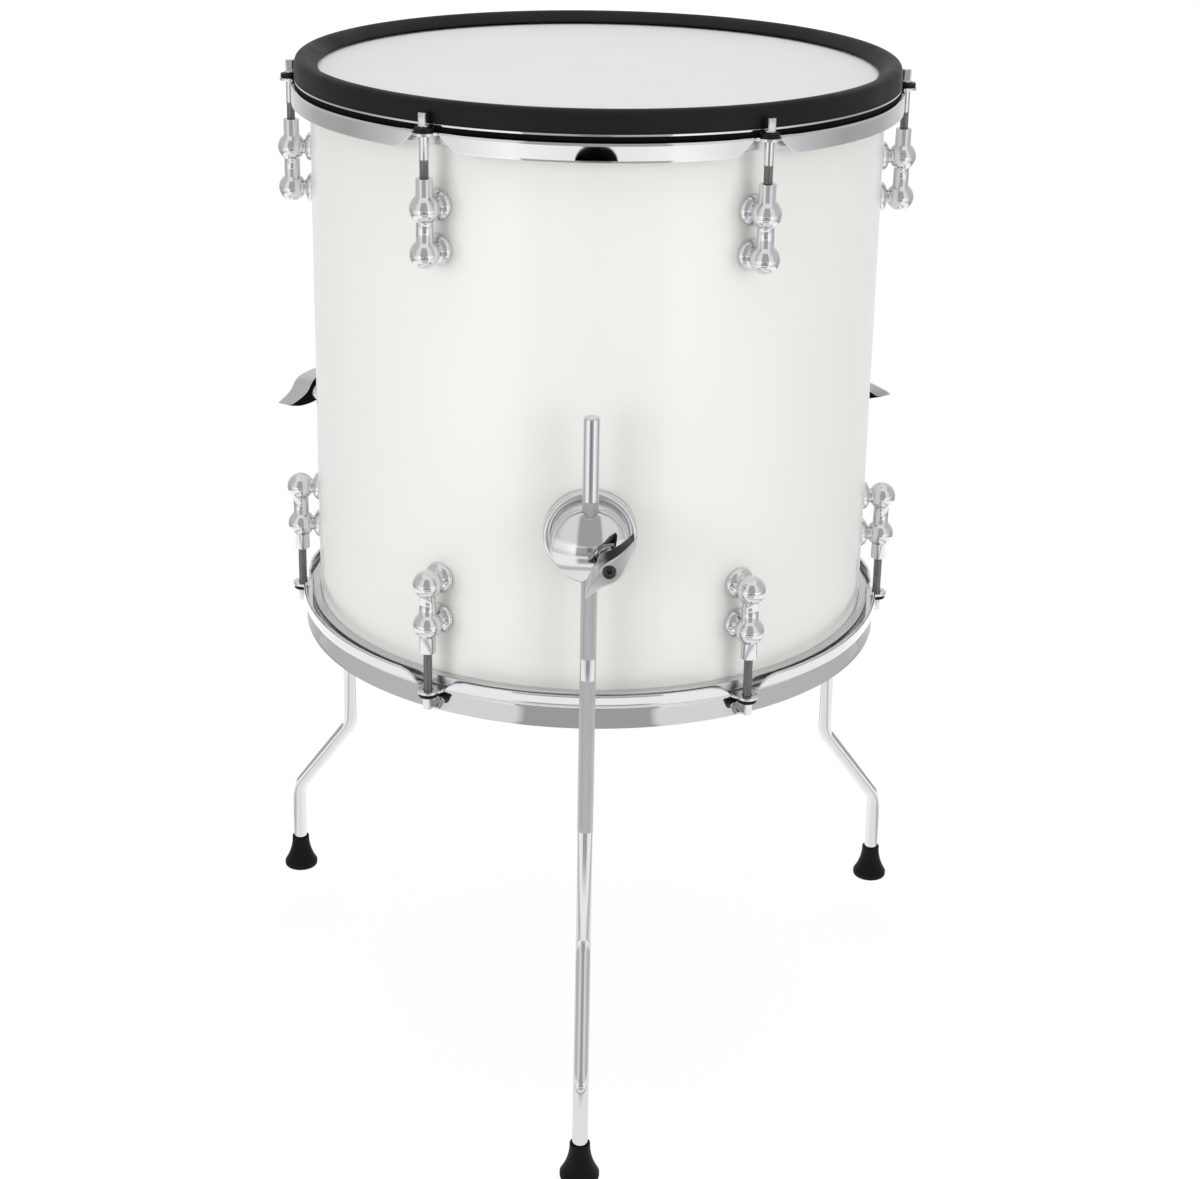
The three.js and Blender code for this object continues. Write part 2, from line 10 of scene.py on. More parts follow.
import bmesh
import bpy
import numpy as np
from mathutils import Matrix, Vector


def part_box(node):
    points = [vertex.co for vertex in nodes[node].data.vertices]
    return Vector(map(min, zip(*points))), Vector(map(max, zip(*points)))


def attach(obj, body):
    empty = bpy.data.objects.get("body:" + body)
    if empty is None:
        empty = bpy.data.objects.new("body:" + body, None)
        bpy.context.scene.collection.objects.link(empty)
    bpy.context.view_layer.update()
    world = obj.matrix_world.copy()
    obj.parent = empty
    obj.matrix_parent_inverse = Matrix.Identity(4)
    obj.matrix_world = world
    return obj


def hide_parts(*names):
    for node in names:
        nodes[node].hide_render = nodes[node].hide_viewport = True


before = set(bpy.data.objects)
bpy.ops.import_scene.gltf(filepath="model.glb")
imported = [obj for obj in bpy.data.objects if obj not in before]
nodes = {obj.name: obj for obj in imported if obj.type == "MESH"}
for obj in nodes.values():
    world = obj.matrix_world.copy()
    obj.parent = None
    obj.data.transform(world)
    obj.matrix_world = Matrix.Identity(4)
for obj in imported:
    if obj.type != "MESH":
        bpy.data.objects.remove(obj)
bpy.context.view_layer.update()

# %% [markdown]
# ## Camera
# The photograph was taken from a little above the drum, with a long lens. Eight ellipses and some
# thirty marks on the drum gave the camera's place, its three angles and its focal length in
# pixels. Blender wants the focal length for a 36 mm wide sensor, and a shift for the middle of the
# picture, because the lens's own axis met the picture left of and above its middle.

# %% Camera
picture_width, picture_height = 1200, 1179
focal_pixels = 2300.4
axis_pixel_x, axis_pixel_y = 578.2, 433.2
camera_place = (0.0014, -1.3847, 0.8703)
yaw, pitch, roll = np.radians([-0.42, 18.705, -0.833])


def stood(name, data):
    """A new object in the scene."""
    made = bpy.data.objects.new(name, data)
    bpy.context.scene.collection.objects.link(made)
    return made


def camera_axes():
    """The camera's right, up and backward directions, from its yaw, pitch and roll."""
    level = np.array([math.sin(yaw), math.cos(yaw), 0])
    ahead = level * math.cos(pitch) - [0, 0, math.sin(pitch)]
    right = np.array([math.cos(yaw), -math.sin(yaw), 0])
    down = np.cross(ahead, right)
    tilted_right = math.cos(roll) * right + math.sin(roll) * down
    tilted_down = math.cos(roll) * down - math.sin(roll) * right
    return tilted_right, -tilted_down, -ahead


lens = bpy.data.cameras.new("camera")
lens.sensor_width = 36
lens.lens = focal_pixels * lens.sensor_width / picture_width
lens.shift_x = (picture_width / 2 - axis_pixel_x) / picture_width
lens.shift_y = (axis_pixel_y - picture_height / 2) / picture_width
lens.clip_end = 30
camera = stood("camera", lens)
turn = Matrix(np.stack(camera_axes(), axis=1).tolist())
camera.matrix_world = Matrix.Translation(camera_place) @ turn.to_4x4()
bpy.context.scene.camera = camera
print("lens", round(lens.lens, 2), "mm, shift", round(lens.shift_x, 4), round(lens.shift_y, 4))

# %% [markdown]
# ## Sizes that the frame gives
# The drum's axis stands a little behind the frame's origin. The widest corners of each faceted ring
# lie on the two axes, so a node's box gives its true radius.

# %% Sizes from the frame


def radius_of(node):
    """Half the width of a node's box."""
    low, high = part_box(node)
    return (high.x - low.x) / 2


shell_low, shell_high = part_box("shell")
axis_y = (shell_low.y + shell_high.y) / 2
shell_radius = radius_of("shell")
shell_bottom, shell_top = shell_low.z, shell_high.z
shell_middle = (shell_bottom + shell_top) / 2
lug_degrees = [-150, -90, -30, 30, 90, 150]
leg_stations = {"front": 0, "right": 120, "left": -120}
rod_low, rod_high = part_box("top_rod_5")
rod_circle = (rod_low.x + rod_high.x) / 2
to_rods = [0, -rod_circle, 0]
ledge_drop = 0.0083
seat_gap = 0.0003
print("shell radius", round(shell_radius, 4), "axis y", round(axis_y, 4), "rods", round(rod_circle, 4))

# %% [markdown]
# ## Surfaces from arrays
# Almost every piece here is turned, bent or drawn along a path, so its surface is a grid of points
# worked out at once with numpy. One helper numbers the faces of such a grid, one turns a profile
# about the upright axis, and one rounds the corners of a profile, as a real edge is rounded. The
# others carry such a skin to its place on the drum.

# %% Grids


def zipped(*columns):
    """Coordinates set side by side as points. A single number is repeated."""
    return np.stack(np.broadcast_arrays(*columns), axis=-1)


def around(radius, angle, height):
    """Points at an angle from the front: x = r sin a, y = -r cos a, z = h."""
    return zipped(radius * np.sin(angle), -radius * np.cos(angle), height)


def sheet(points, wrap_rows=False, wrap_columns=False, row_marks=None, column_marks=None):
    """A grid of points as one skin. Points (i, j), (i+1, j), (i+1, j+1) and (i, j+1) make a face,
    and a wrapped side joins its last line to its first. The marks are lengths along the two
    sides, which become the skin's UV map in metres."""
    rows, columns = points.shape[:2]
    i, j = np.meshgrid(
        np.arange(rows if wrap_rows else rows - 1),
        np.arange(columns if wrap_columns else columns - 1),
        indexing="ij",
    )
    corner_rows = np.stack([i, i + 1, i + 1, i], axis=-1).reshape(-1, 4)
    corner_columns = np.stack([j, j, j + 1, j + 1], axis=-1).reshape(-1, 4)
    faces = (corner_rows % rows) * columns + corner_columns % columns
    row_marks = np.arange(rows + 1.0) if row_marks is None else row_marks
    column_marks = np.arange(columns + 1.0) if column_marks is None else column_marks
    return points.reshape(-1, 3), faces, zipped(column_marks[corner_columns], row_marks[corner_rows])


def turned(profile, sides, wrap_profile=False):
    """A profile of (radius, height) points turned about +Z."""
    radius, height = np.asarray(profile, float).T
    angle = np.linspace(0, 2 * np.pi, sides, endpoint=False)[:, None]
    return sheet(around(radius, angle, height), wrap_rows=True, wrap_columns=wrap_profile)


def bar(radius, low, high, sides):
    """A round bar about +Z, closed at both ends."""
    return turned([[0, low], [radius, low], [radius, high], [0, high]], sides)


def rounded(corners, radii, steps=5):
    """A closed outline whose corners become arcs. At each corner the arc touches both sides at
    r / tan(half the corner's angle), and its points are the blend sin((1-t)w), sin(tw) of the two
    touching points seen from its centre."""
    corner = np.asarray(corners, float)
    radius = np.broadcast_to(np.asarray(radii, float), len(corner))[:, None]
    before = np.roll(corner, 1, axis=0) - corner
    after = np.roll(corner, -1, axis=0) - corner
    before /= np.linalg.norm(before, axis=1, keepdims=True)
    after /= np.linalg.norm(after, axis=1, keepdims=True)
    half = np.arccos(np.clip((before * after).sum(axis=1, keepdims=True), -1, 1)) / 2
    middle = before + after
    middle /= np.linalg.norm(middle, axis=1, keepdims=True)
    centre = corner + middle * radius / np.sin(half)
    start = corner + before * radius / np.tan(half) - centre
    end = corner + after * radius / np.tan(half) - centre
    sweep = (np.pi - 2 * half)[:, None]
    share = np.linspace(0, 1, steps + 1)[None, :, None]
    from_start, from_end = np.sin((1 - share) * sweep), np.sin(share * sweep)
    arc = (from_start * start[:, None] + from_end * end[:, None]) / np.sin(sweep)
    return (centre[:, None] + arc).reshape(-1, 2)


def ring_section(inner, outer, low, high, radii, steps=5):
    """A ring's section with rounded corners, from the inner lower one outwards."""
    return rounded([[inner, low], [outer, low], [outer, high], [inner, high]], radii, steps)


def corner_arc(centre, radius, first, last, steps=5):
    """Points on a circle, from one angle in degrees to another."""
    angle = np.radians(np.linspace(first, last, steps))
    return zipped(centre[0] + radius * np.cos(angle), centre[1] + radius * np.sin(angle))


def moved(skin, offset):
    """A skin shifted as a whole."""
    points, faces, marks = skin
    return points + offset, faces, marks


def spun(skin, degrees):
    """A skin turned about +Z."""
    points, faces, marks = skin
    turn = math.radians(degrees)
    x = points[:, 0] * math.cos(turn) - points[:, 1] * math.sin(turn)
    y = points[:, 0] * math.sin(turn) + points[:, 1] * math.cos(turn)
    return zipped(x, y, points[:, 2]), faces, marks


def laid(skin, height):
    """A skin about +Z laid along the radial line at a height, in front of the drum's axis. What
    was its height becomes the distance from that axis."""
    points, faces, marks = skin
    return zipped(points[:, 0], -points[:, 2], height - points[:, 1]), faces, marks


def at_station(skin, degrees, end):
    """A skin drawn in front of the drum's axis, carried round the drum to an angle that is counted
    from the front towards +X. For the lower end it is mirrored about the shell's middle."""
    points, faces, marks = moved(spun(skin, degrees), [0, axis_y, 0])
    if end == "bottom":
        points = points * [1, 1, -1] + [0, 0, 2 * shell_middle]
    return points, faces, marks


# %% [markdown]
# ## From grids to pieces
# A piece may be several skins, each with its own finish. Doubled points are merged, which closes
# seams and poles, and then the faces are turned outwards. Edges sharper than an angle stay crisp,
# and the rest is shaded smooth. Cuts and rounded edges are modifiers that are baked in at once.

# %% Pieces


def shade(mesh, sharp=38):
    """Shades a mesh smooth but for the edges that are sharper than an angle in degrees."""
    mesh.polygons.foreach_set("use_smooth", np.ones(len(mesh.polygons), bool))
    mesh.set_sharp_from_angle(angle=math.radians(sharp))


def piece(name, skins, body, stands_for, degrees=0, end="top", sharp=38):
    """One object from skins of (skin, material), stood at a station and an end of the drum. It
    rides on a body and stands for CAD nodes."""
    skins = [(at_station(skin, degrees, end), finish) for skin, finish in skins]
    points = np.concatenate([skin[0] for skin, _ in skins])
    starts = np.cumsum([0] + [len(skin[0]) for skin, _ in skins[:-1]])
    faces = np.concatenate([skin[1] + start for (skin, _), start in zip(skins, starts)])
    marks = np.concatenate([skin[2] for skin, _ in skins])
    finishes = list(dict.fromkeys(finish for _, finish in skins))
    numbers = np.concatenate([np.full(len(skin[1]), finishes.index(finish)) for skin, finish in skins])
    mesh = bpy.data.meshes.new(name)
    mesh.from_pydata(points.tolist(), [], faces.tolist())
    mesh.uv_layers.new(name="lengths").data.foreach_set("uv", marks.reshape(-1))
    mesh.polygons.foreach_set("material_index", numbers.astype(np.int32))
    for finish in finishes:
        mesh.materials.append(finish)
    edit = bmesh.new()
    edit.from_mesh(mesh)
    bmesh.ops.remove_doubles(edit, verts=edit.verts, dist=1e-6)
    bmesh.ops.recalc_face_normals(edit, faces=edit.faces)
    edit.to_mesh(mesh)
    edit.free()
    shade(mesh, sharp)
    made = stood(name, mesh)
    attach(made, body)
    if stands_for:
        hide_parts(*stands_for)
    return made


def settle(made):
    """Bakes a piece's modifiers into its mesh and shades it again."""
    graph = bpy.context.evaluated_depsgraph_get()
    made.data = bpy.data.meshes.new_from_object(made.evaluated_get(graph))
    made.modifiers.clear()
    shade(made.data)


def cut(made, *cutters, degrees=0, end="top"):
    """Takes closed skins away from a piece, with Blender's exact boolean. The skins of one call
    must stand clear of each other."""
    skins = [(skin, None) for skin in cutters]
    tool = piece(made.name + "_tool", skins, "drum", (), degrees, end)
    job = made.modifiers.new("cut", "BOOLEAN")
    job.object = tool
    job.operation = "DIFFERENCE"
    job.solver = "EXACT"
    settle(made)
    bpy.data.objects.remove(tool)


def soften(made, width, angle):
    """Rounds the edges that are sharper than an angle in degrees."""
    edges = made.modifiers.new("edges", "BEVEL")
    edges.width = width
    edges.segments = 2
    edges.limit_method = "ANGLE"
    edges.angle_limit = math.radians(angle)
    settle(made)


# %% [markdown]
# ## Effects that several finishes share
# No real surface is even. Three small node groups give the unevenness: a slow mottle that moves a
# value between two limits, a fine pebble for rubber, coating and nylon, and the hairlines that a
# polishing mop leaves in chrome. The room's finishes are chains of sums, so a small class keeps
# every such chain short.

# %% Wiring


class Wiring:
    """Short ways to add and join nodes in one node tree."""

    def __init__(self, tree):
        self.tree = tree

    def feed(self, socket, value):
        """Joins an output to a socket, or sets the socket to a plain value."""
        if isinstance(value, bpy.types.NodeSocket):
            self.tree.links.new(value, socket)
        else:
            socket.default_value = value

    def fill(self, node, *values, **named):
        """Feeds a node's first inputs in turn, and others by name, with _ for a space."""
        for socket, value in zip(node.inputs, values):
            self.feed(socket, value)
        for label, value in named.items():
            self.feed(node.inputs[label.replace("_", " ")], value)
        return node

    def add(self, kind, *values, **named):
        return self.fill(self.tree.nodes.new("ShaderNode" + kind), *values, **named)

    def group(self, shared, **named):
        """The outputs of a shared group."""
        node = self.tree.nodes.new("ShaderNodeGroup")
        node.node_tree = shared
        return self.fill(node, **named).outputs

    def math(self, operation, *values):
        node = self.add("Math", *values)
        node.operation = operation
        return node.outputs["Value"]

    def times(self, first, *others):
        for other in others:
            first = self.math("MULTIPLY", first, other)
        return first

    def left_by(self, share):
        """What a share leaves of one."""
        return self.math("SUBTRACT", 1.0, share)

    def step(self, source, first, last, low=0.0, high=1.0):
        """A smooth step of the source between two places."""
        node = self.add("MapRange", source, first, last, low, high)
        node.interpolation_type = "SMOOTHSTEP"
        return node.outputs["Result"]

    def band(self, source, first, full, fading, last, low=0.0):
        """A smooth step up and, further on, a smooth step down to nothing."""
        rise = self.step(source, first, full, low)
        return self.times(rise, self.step(source, fading, last, 1.0, 0.0))

    def mix(self, factor, first, second, kind="FLOAT"):
        node = self.tree.nodes.new("ShaderNodeMix")
        node.data_type = kind
        return self.fill(node, Factor=factor, A=first, B=second).outputs["Result"]

    def by_angle(self, front, stops):
        """Brightness by angle from the front: stops of (degrees, brightness), joined by lines.
        The curve is drawn over the angle's cosine, moved and scaled to run from 0 to 1."""
        node = self.tree.nodes.new("ShaderNodeFloatCurve")
        curve = node.mapping.curves[0]
        node.mapping.use_clip = False
        places = sorted(((1 + math.cos(math.radians(degrees))) / 2, level) for degrees, level in stops)
        curve.points[0].location = places[0]
        curve.points[1].location = places[-1]
        for place in places[1:-1]:
            curve.points.new(*place)
        for point in curve.points:
            point.handle_type = "VECTOR"
        node.mapping.update()
        self.feed(node.inputs["Value"], self.times(self.math("ADD", front, 1.0), 0.5))
        return node.outputs["Value"]


# %% Node groups


def new_group(name, inputs, outputs):
    """The wiring of an empty shader group, and the sockets at its two ends."""
    group = bpy.data.node_groups.new(name, "ShaderNodeTree")
    for label, value in inputs.items():
        kind = "NodeSocketFloat" if isinstance(value, float) else "NodeSocketVector"
        socket = group.interface.new_socket(label, in_out="INPUT", socket_type=kind)
        if value is not None:
            socket.default_value = value
    for label in outputs:
        group.interface.new_socket(label, in_out="OUTPUT", socket_type="NodeSocketFloat")
    given, result = group.nodes.new("NodeGroupInput"), group.nodes.new("NodeGroupOutput")
    return Wiring(group), given.outputs, result.inputs


def mottle_group():
    """Value = low + (high - low) x smooth noise, for colours and roughness that drift slowly."""
    sockets = {"Vector": None, "Scale": 10.0, "Low": 0.0, "High": 1.0}
    wire, given, result = new_group("mottle", sockets, ["Value"])
    noise = wire.add("TexNoise", Vector=given["Vector"], Scale=given["Scale"], Detail=3)
    spread = wire.add("MapRange", noise.outputs["Fac"], 0.3, 0.7, given["Low"], given["High"])
    wire.feed(result["Value"], spread.outputs["Result"])
    return wire.tree


def pebble_group():
    """Height = rounded cells of a Voronoi pattern, broken up by noise, as on moulded rubber."""
    wire, given, result = new_group("pebble", {"Vector": None, "Scale": 1000.0}, ["Height"])
    place = {"Vector": given["Vector"], "Scale": given["Scale"]}
    cells, noise = wire.add("TexVoronoi", **place), wire.add("TexNoise", **place)
    cells.feature = "SMOOTH_F1"
    wire.feed(result["Height"], wire.math("ADD", cells.outputs["Distance"], noise.outputs["Fac"]))
    return wire.tree


def hairline_group():
    """Height = noise(place x Stretch), which runs in fine lines across the axis stretched most."""
    sockets = {"Vector": None, "Scale": 60.0, "Stretch": (1.0, 1.0, 50.0)}
    wire, given, result = new_group("hairlines", sockets, ["Height"])
    stretch = wire.add("VectorMath", given["Vector"], given["Stretch"])
    stretch.operation = "MULTIPLY"
    noise = wire.add("TexNoise", Vector=stretch.outputs["Vector"], Scale=given["Scale"], Detail=4)
    wire.feed(result["Height"], noise.outputs["Fac"])
    return wire.tree


mottle = mottle_group()
pebble = pebble_group()
hairlines = hairline_group()
print("groups:", [group.name for group in (mottle, pebble, hairlines)])

# %% Nodes of a finish


class Finish(Wiring):
    """A material under construction, with the inputs of its Principled shader."""

    def __init__(self, name, color, roughness, metallic=0.0):
        self.material = bpy.data.materials.new(name)
        self.material.use_nodes = True
        super().__init__(self.material.node_tree)
        self.shader = self.tree.nodes["Principled BSDF"].inputs
        self.shader["Base Color"].default_value = (*color, 1)
        self.shader["Roughness"].default_value = roughness
        self.shader["Metallic"].default_value = metallic
        self.coordinates = self.add("TexCoord").outputs

    def pattern(self, shared, **named):
        """A shared group's value over the object's own coordinates."""
        return self.group(shared, Vector=self.coordinates["Object"], **named)[0]

    def rough_between(self, low, high, scale):
        """Lets the roughness drift between two values."""
        self.feed(self.shader["Roughness"], self.pattern(mottle, Scale=scale, Low=low, High=high))

    def tint_between(self, first, second, scale):
        """Lets the colour drift between two near tones."""
        tone = self.mix(self.pattern(mottle, Scale=scale), (*first, 1), (*second, 1), "RGBA")
        self.feed(self.shader["Base Color"], tone)

    def relief(self, *layers):
        """Chains Bump nodes, one for each (height output, strength, distance in metres)."""
        normal = None
        for height, strength, distance in layers:
            bump = self.add("Bump", Height=height, Strength=strength, Distance=distance)
            if normal:
                self.feed(bump.inputs["Normal"], normal)
            normal = bump.outputs["Normal"]
        self.feed(self.shader["Normal"], normal)


# %% [markdown]
# ## Lacquer
# The shell is sprayed off-white, faintly green, under a clear gloss coat. A coat over a slightly
# duller base gives that depth. Sprayed lacquer is never dead flat, so a very shallow, slow bump
# lets the reflections waver as orange peel does.

# %% Lacquer and ply


def lacquer_finish():
    finish = Finish("white_lacquer", (0.80, 0.815, 0.77), 0.32)
    finish.tint_between((0.795, 0.815, 0.765), (0.825, 0.835, 0.80), 4)
    finish.shader["Coat Weight"].default_value = 0.6
    finish.shader["Coat Roughness"].default_value = 0.05
    finish.relief((finish.pattern(mottle, Scale=260), 0.12, 0.0001))
    return finish.material


def ply_finish():
    """Birch ply: bands of light and dark veneer through the wall, with grain along the drum."""
    finish = Finish("clear_coated_ply", (0.55, 0.40, 0.25), 0.45)
    grain = finish.pattern(hairlines, Scale=30, Stretch=(20.0, 20.0, 1.0))
    tones = finish.add("ValToRGB", Fac=grain)
    tones.color_ramp.elements[0].color = (0.42, 0.27, 0.14, 1)
    tones.color_ramp.elements[1].color = (0.66, 0.50, 0.33, 1)
    finish.feed(finish.shader["Base Color"], tones.outputs["Color"])
    finish.relief((grain, 0.2, 0.0002))
    return finish.material


lacquer = lacquer_finish()
ply = ply_finish()
print("shell finishes:", lacquer.name, ply.name)

# %% [markdown]
# ## Chrome
# Chrome plate is a mirror, so most of its look comes from the room. What makes it a real plate is
# small: the pressing or casting under it is not quite true, and the polish leaves faint lines and
# patches that are a little duller. The legs have a knurl where the clamp grips, and the rods have a
# thread that holds a film of dark oil.

# %% Chrome and steel


def chrome_finish(name, color, low, high, waver, waver_scale, scratch=0.03):
    """Mirror plate with drifting roughness, a slow waver of the pressing and fine hairlines."""
    finish = Finish(name, color, low, 1.0)
    finish.rough_between(low, high, 40)
    slow = finish.pattern(mottle, Scale=waver_scale)
    lines = finish.pattern(hairlines, Scale=90, Stretch=(1.0, 1.0, 25.0))
    finish.relief((slow, waver, 0.0004), (lines, scratch, 0.0001))
    return finish


chrome_color = (0.70, 0.705, 0.715)
hoop_chrome = chrome_finish("pressed_chrome", chrome_color, 0.01, 0.025, 0.003, 10, 0.002).material
lug_chrome = chrome_finish("turned_chrome", (0.74, 0.745, 0.755), 0.02, 0.06, 0.02, 60, 0.015).material
cast_chrome = chrome_finish("cast_chrome", chrome_color, 0.04, 0.11, 0.05, 50).material
cap_chrome = chrome_finish("domed_chrome", chrome_color, 0.09, 0.13, 0.03, 50, 0.015).material
ring_chrome = chrome_finish("ring_chrome", (0.76, 0.765, 0.775), 0.16, 0.24, 0.05, 50).material
rod_chrome = chrome_finish("key_chrome", chrome_color, 0.03, 0.08, 0.02, 60, 0.015).material
leg_chrome = chrome_finish("tube_chrome", chrome_color, 0.03, 0.08, 0.02, 30, 0.02).material
thread_steel = chrome_finish("oiled_thread", (0.24, 0.24, 0.245), 0.25, 0.40, 0.03, 200).material
nickel = chrome_finish("socket_nickel", (0.62, 0.60, 0.56), 0.14, 0.24, 0.04, 80).material
satin_chrome = chrome_finish("satin_chrome", (0.66, 0.655, 0.66), 0.30, 0.40, 0.03, 60, 0.10).material
dark_steel = chrome_finish("blackened_screw", (0.075, 0.07, 0.062), 0.24, 0.38, 0.03, 200).material
zinc = chrome_finish("zinc_strip", (0.50, 0.51, 0.53), 0.28, 0.42, 0.08, 50).material
# Near-black chrome for the lever's back face: painted shade for the hollow side that faces the drum.
cast_back = chrome_finish("cast_back", (0.008, 0.008, 0.009), 0.30, 0.45, 0.05, 50).material
flesh_metal = chrome_finish("flesh_hoop", (0.66, 0.66, 0.67), 0.22, 0.34, 0.04, 60).material
knurl_pitch = 0.0011


def knurl_finish():
    """Diamond knurl. Two sets of ridges cross at the slants u + v and u - v of the leg's own
    lengths, and the height is the lower of their two waves."""
    finish = chrome_finish("knurled_chrome", (0.66, 0.665, 0.675), 0.28, 0.38, 0.02, 60)
    u, v = finish.add("SeparateXYZ", finish.coordinates["UV"]).outputs[:2]
    slants = finish.math("ADD", u, v), finish.math("SUBTRACT", u, v)
    waves = [finish.math("PINGPONG", slant, knurl_pitch / 2) for slant in slants]
    finish.relief((finish.math("MINIMUM", *waves), 1.0, 0.6))
    return finish.material


def flank_finish():
    """The lever's side: painted shade that is dark by the heel, and a painted reflection that is lighter
    towards the tip. The UV's second number counts the steps along the leaf."""
    finish = chrome_finish("cast_flank", (0.3, 0.3, 0.3), 0.10, 0.20, 0.05, 50)
    steps = finish.add("SeparateXYZ", finish.coordinates["UV"]).outputs["Y"]
    # Painted shade and reflection: a dark tone by the heel that turns light towards the tip.
    tip_reflection_tone, heel_shade_tone = (0.50, 0.50, 0.51, 1), (0.010, 0.010, 0.011, 1)
    tone = finish.mix(finish.step(steps, 18, 34), tip_reflection_tone, heel_shade_tone, "RGBA")
    finish.feed(finish.shader["Base Color"], tone)
    return finish.material


knurled = knurl_finish()
cast_flank = flank_finish()
print("metals:", [m.name for m in bpy.data.materials if "chrome" in m.name])

# %% [markdown]
# ## Rubber, nylon and film
# The rim and the feet are moulded rubber: almost black, satin, with a fine pebble. The washers are
# black nylon, a little glossier. The head's film is off-white with a sprayed coating that feels
# like very fine sandpaper.

# %% Rubber, nylon and film


def rubber_finish(name, color, low, high, scale):
    finish = Finish(name, color, low)
    finish.shader["Specular IOR Level"].default_value = 0.15
    finish.rough_between(low, high, 25)
    finish.relief((finish.pattern(pebble, Scale=scale), 0.25, 0.00015))
    return finish.material


def film_finish():
    finish = Finish("coated_film", (0.74, 0.73, 0.70), 0.5)
    finish.tint_between((0.745, 0.735, 0.715), (0.775, 0.765, 0.75), 6)
    finish.rough_between(0.42, 0.55, 30)
    finish.relief((finish.pattern(pebble, Scale=2600), 0.2, 0.0001))
    return finish.material


rim_rubber = rubber_finish("moulded_rubber", (0.0095, 0.0095, 0.0100), 0.42, 0.58, 1500)
# Nearly black rubber for the rim's bead: painted shade for the gap under the hoop's lip.
bead_painted_shade_rubber = rubber_finish("shaded_rubber", (0.0012, 0.0012, 0.0013), 0.80, 0.90, 1500)
foot_rubber = rubber_finish("boot_rubber", (0.0030, 0.0030, 0.0032), 0.52, 0.66, 1300)
nylon = rubber_finish("black_nylon", (0.008, 0.008, 0.009), 0.30, 0.40, 2200)
foam = rubber_finish("open_foam", (0.03, 0.03, 0.032), 0.85, 0.95, 700)
film = film_finish()
print("finishes:", len(bpy.data.materials))

# %% [markdown]
# ## Shell
# A drum shell is a rolled ply tube. Its two ends are routed to a slope, which leaves a sharp outer
# edge for the head to stretch over. It is one closed profile turned about the axis, lacquered
# outside and bare ply inside, and the socket's hole is cut through its back.

# %% Shell
shell_wall = 0.006
bearing_depth = 0.006
shell_sides = 256
socket_hole_radius = 0.0061


def shell_piece():
    inner_radius = shell_radius - shell_wall
    outer = [[shell_radius, z] for z in np.linspace(shell_top, shell_bottom, 24)]
    inner = [
        [shell_radius, shell_bottom],
        [inner_radius, shell_bottom + bearing_depth],
        [inner_radius, shell_top - bearing_depth],
        [shell_radius, shell_top],
    ]
    skins = [(turned(outer, shell_sides), lacquer), (turned(inner, shell_sides), ply)]
    made = piece("shell_wall", skins, "drum", ["shell"])
    hole = bar(socket_hole_radius, shell_radius - 2 * shell_wall, shell_radius + 0.004, 48)
    cut(made, laid(hole, shell_middle), degrees=180)
    return made


shell = shell_piece()
print("shell faces:", len(shell.data.polygons))

# %% [markdown]
# ## Heads
# A head is a film with a turned-down collar, bonded into a metal flesh hoop. The film bends over the
# shell's edge on a small radius. One profile makes all of it, and the part of it that lies under
# the hoop is the flesh hoop's own metal.

# %% Heads
flesh_low, head_high = (corner.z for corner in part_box("top_head"))
flesh_radius = radius_of("top_head")
film_inner = shell_radius + seat_gap
film_thickness = 0.0006
flesh_depth, flesh_height = 0.0046, 0.007
edge_bend = 0.0012
flesh_corner = 0.0012


def head_piece(name, end):
    """The film from the middle out, over the edge and down to the flesh hoop, and back below."""
    film_outer = film_inner + film_thickness
    film_under = head_high - film_thickness
    skirt_low = flesh_low + flesh_height
    over = corner_arc((film_outer - edge_bend, head_high - edge_bend), edge_bend, 90, 0, 7)
    flat = zipped(np.linspace(0, film_outer - edge_bend, 12), head_high)
    top = np.vstack([flat, over, [[film_outer, skirt_low]]])
    outside = [[flesh_radius, skirt_low], [flesh_radius, flesh_low]]
    corners = [[film_outer, skirt_low], *outside, [film_inner, flesh_low]]
    hoop = rounded(corners, [0, flesh_corner, flesh_corner, 0])
    below = [[film_inner, flesh_low], [film_inner, film_under], [0, film_under]]
    finishes = ((top, film), (hoop, flesh_metal), (below, film))
    skins = [(turned(profile, 192), finish) for profile, finish in finishes]
    return piece(name, skins, "drum", [f"{end}_head"], end=end)


for name, end in (("playing_head", "top"), ("resonant_head", "bottom")):
    print(name, "faces:", len(head_piece(name, end).data.polygons))

# %% [markdown]
# ## Hoops
# A triple-flanged hoop is one strip of steel, pressed to a lip, a wall, a ledge and a skirt. The
# skirt is cut away at each lug, and there the ledge runs out flat as an ear that carries the rod.
# So the middle of the sheet is worked out as one grid: along the strip, and round the drum. Beyond
# the ledge the same columns either bend down as skirt or run on flat as ear, and their length is a
# function of the distance from the nearest rod. A Solidify modifier then gives the steel its
# thickness, and a small bevel rounds the cut edges, as the press and the polisher do.

# %% Sizes of the hoops
hoop_sheet = 0.0016
half_sheet = hoop_sheet / 2
wall_clearance, skirt_clearance, lip_setback = 0.0017, 0.0041, 0.0040
hoop_low, hoop_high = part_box("top_hoop")
wall_radius = flesh_radius - flesh_depth + wall_clearance + half_sheet
skirt_radius = flesh_radius + skirt_clearance + half_sheet
lip_radius = rod_circle - lip_setback
ledge_middle = shell_top - ledge_drop - half_sheet
top_hem, bottom_hem = hoop_low.z, shell_top - 0.0176
top_bend, bottom_bend = 0.0006, 0.0028
flare_foot, flare_edge = shell_top - 0.0055, shell_top + 0.0047
flare_bend = 0.0030
ear_radius = 0.0065
ear_half = 0.0085
ear_root = 0.0012
skirt_shoulder, skirt_late, skirt_full = 0.0127, 0.0175, 0.0235
hoop_corner = 0.0014
rod_hole_radius = 0.0031
print("hoop wall", round(wall_radius, 4), "skirt", round(skirt_radius, 4), "lip", round(lip_radius, 4))

# %% Middle of the pressed sheet


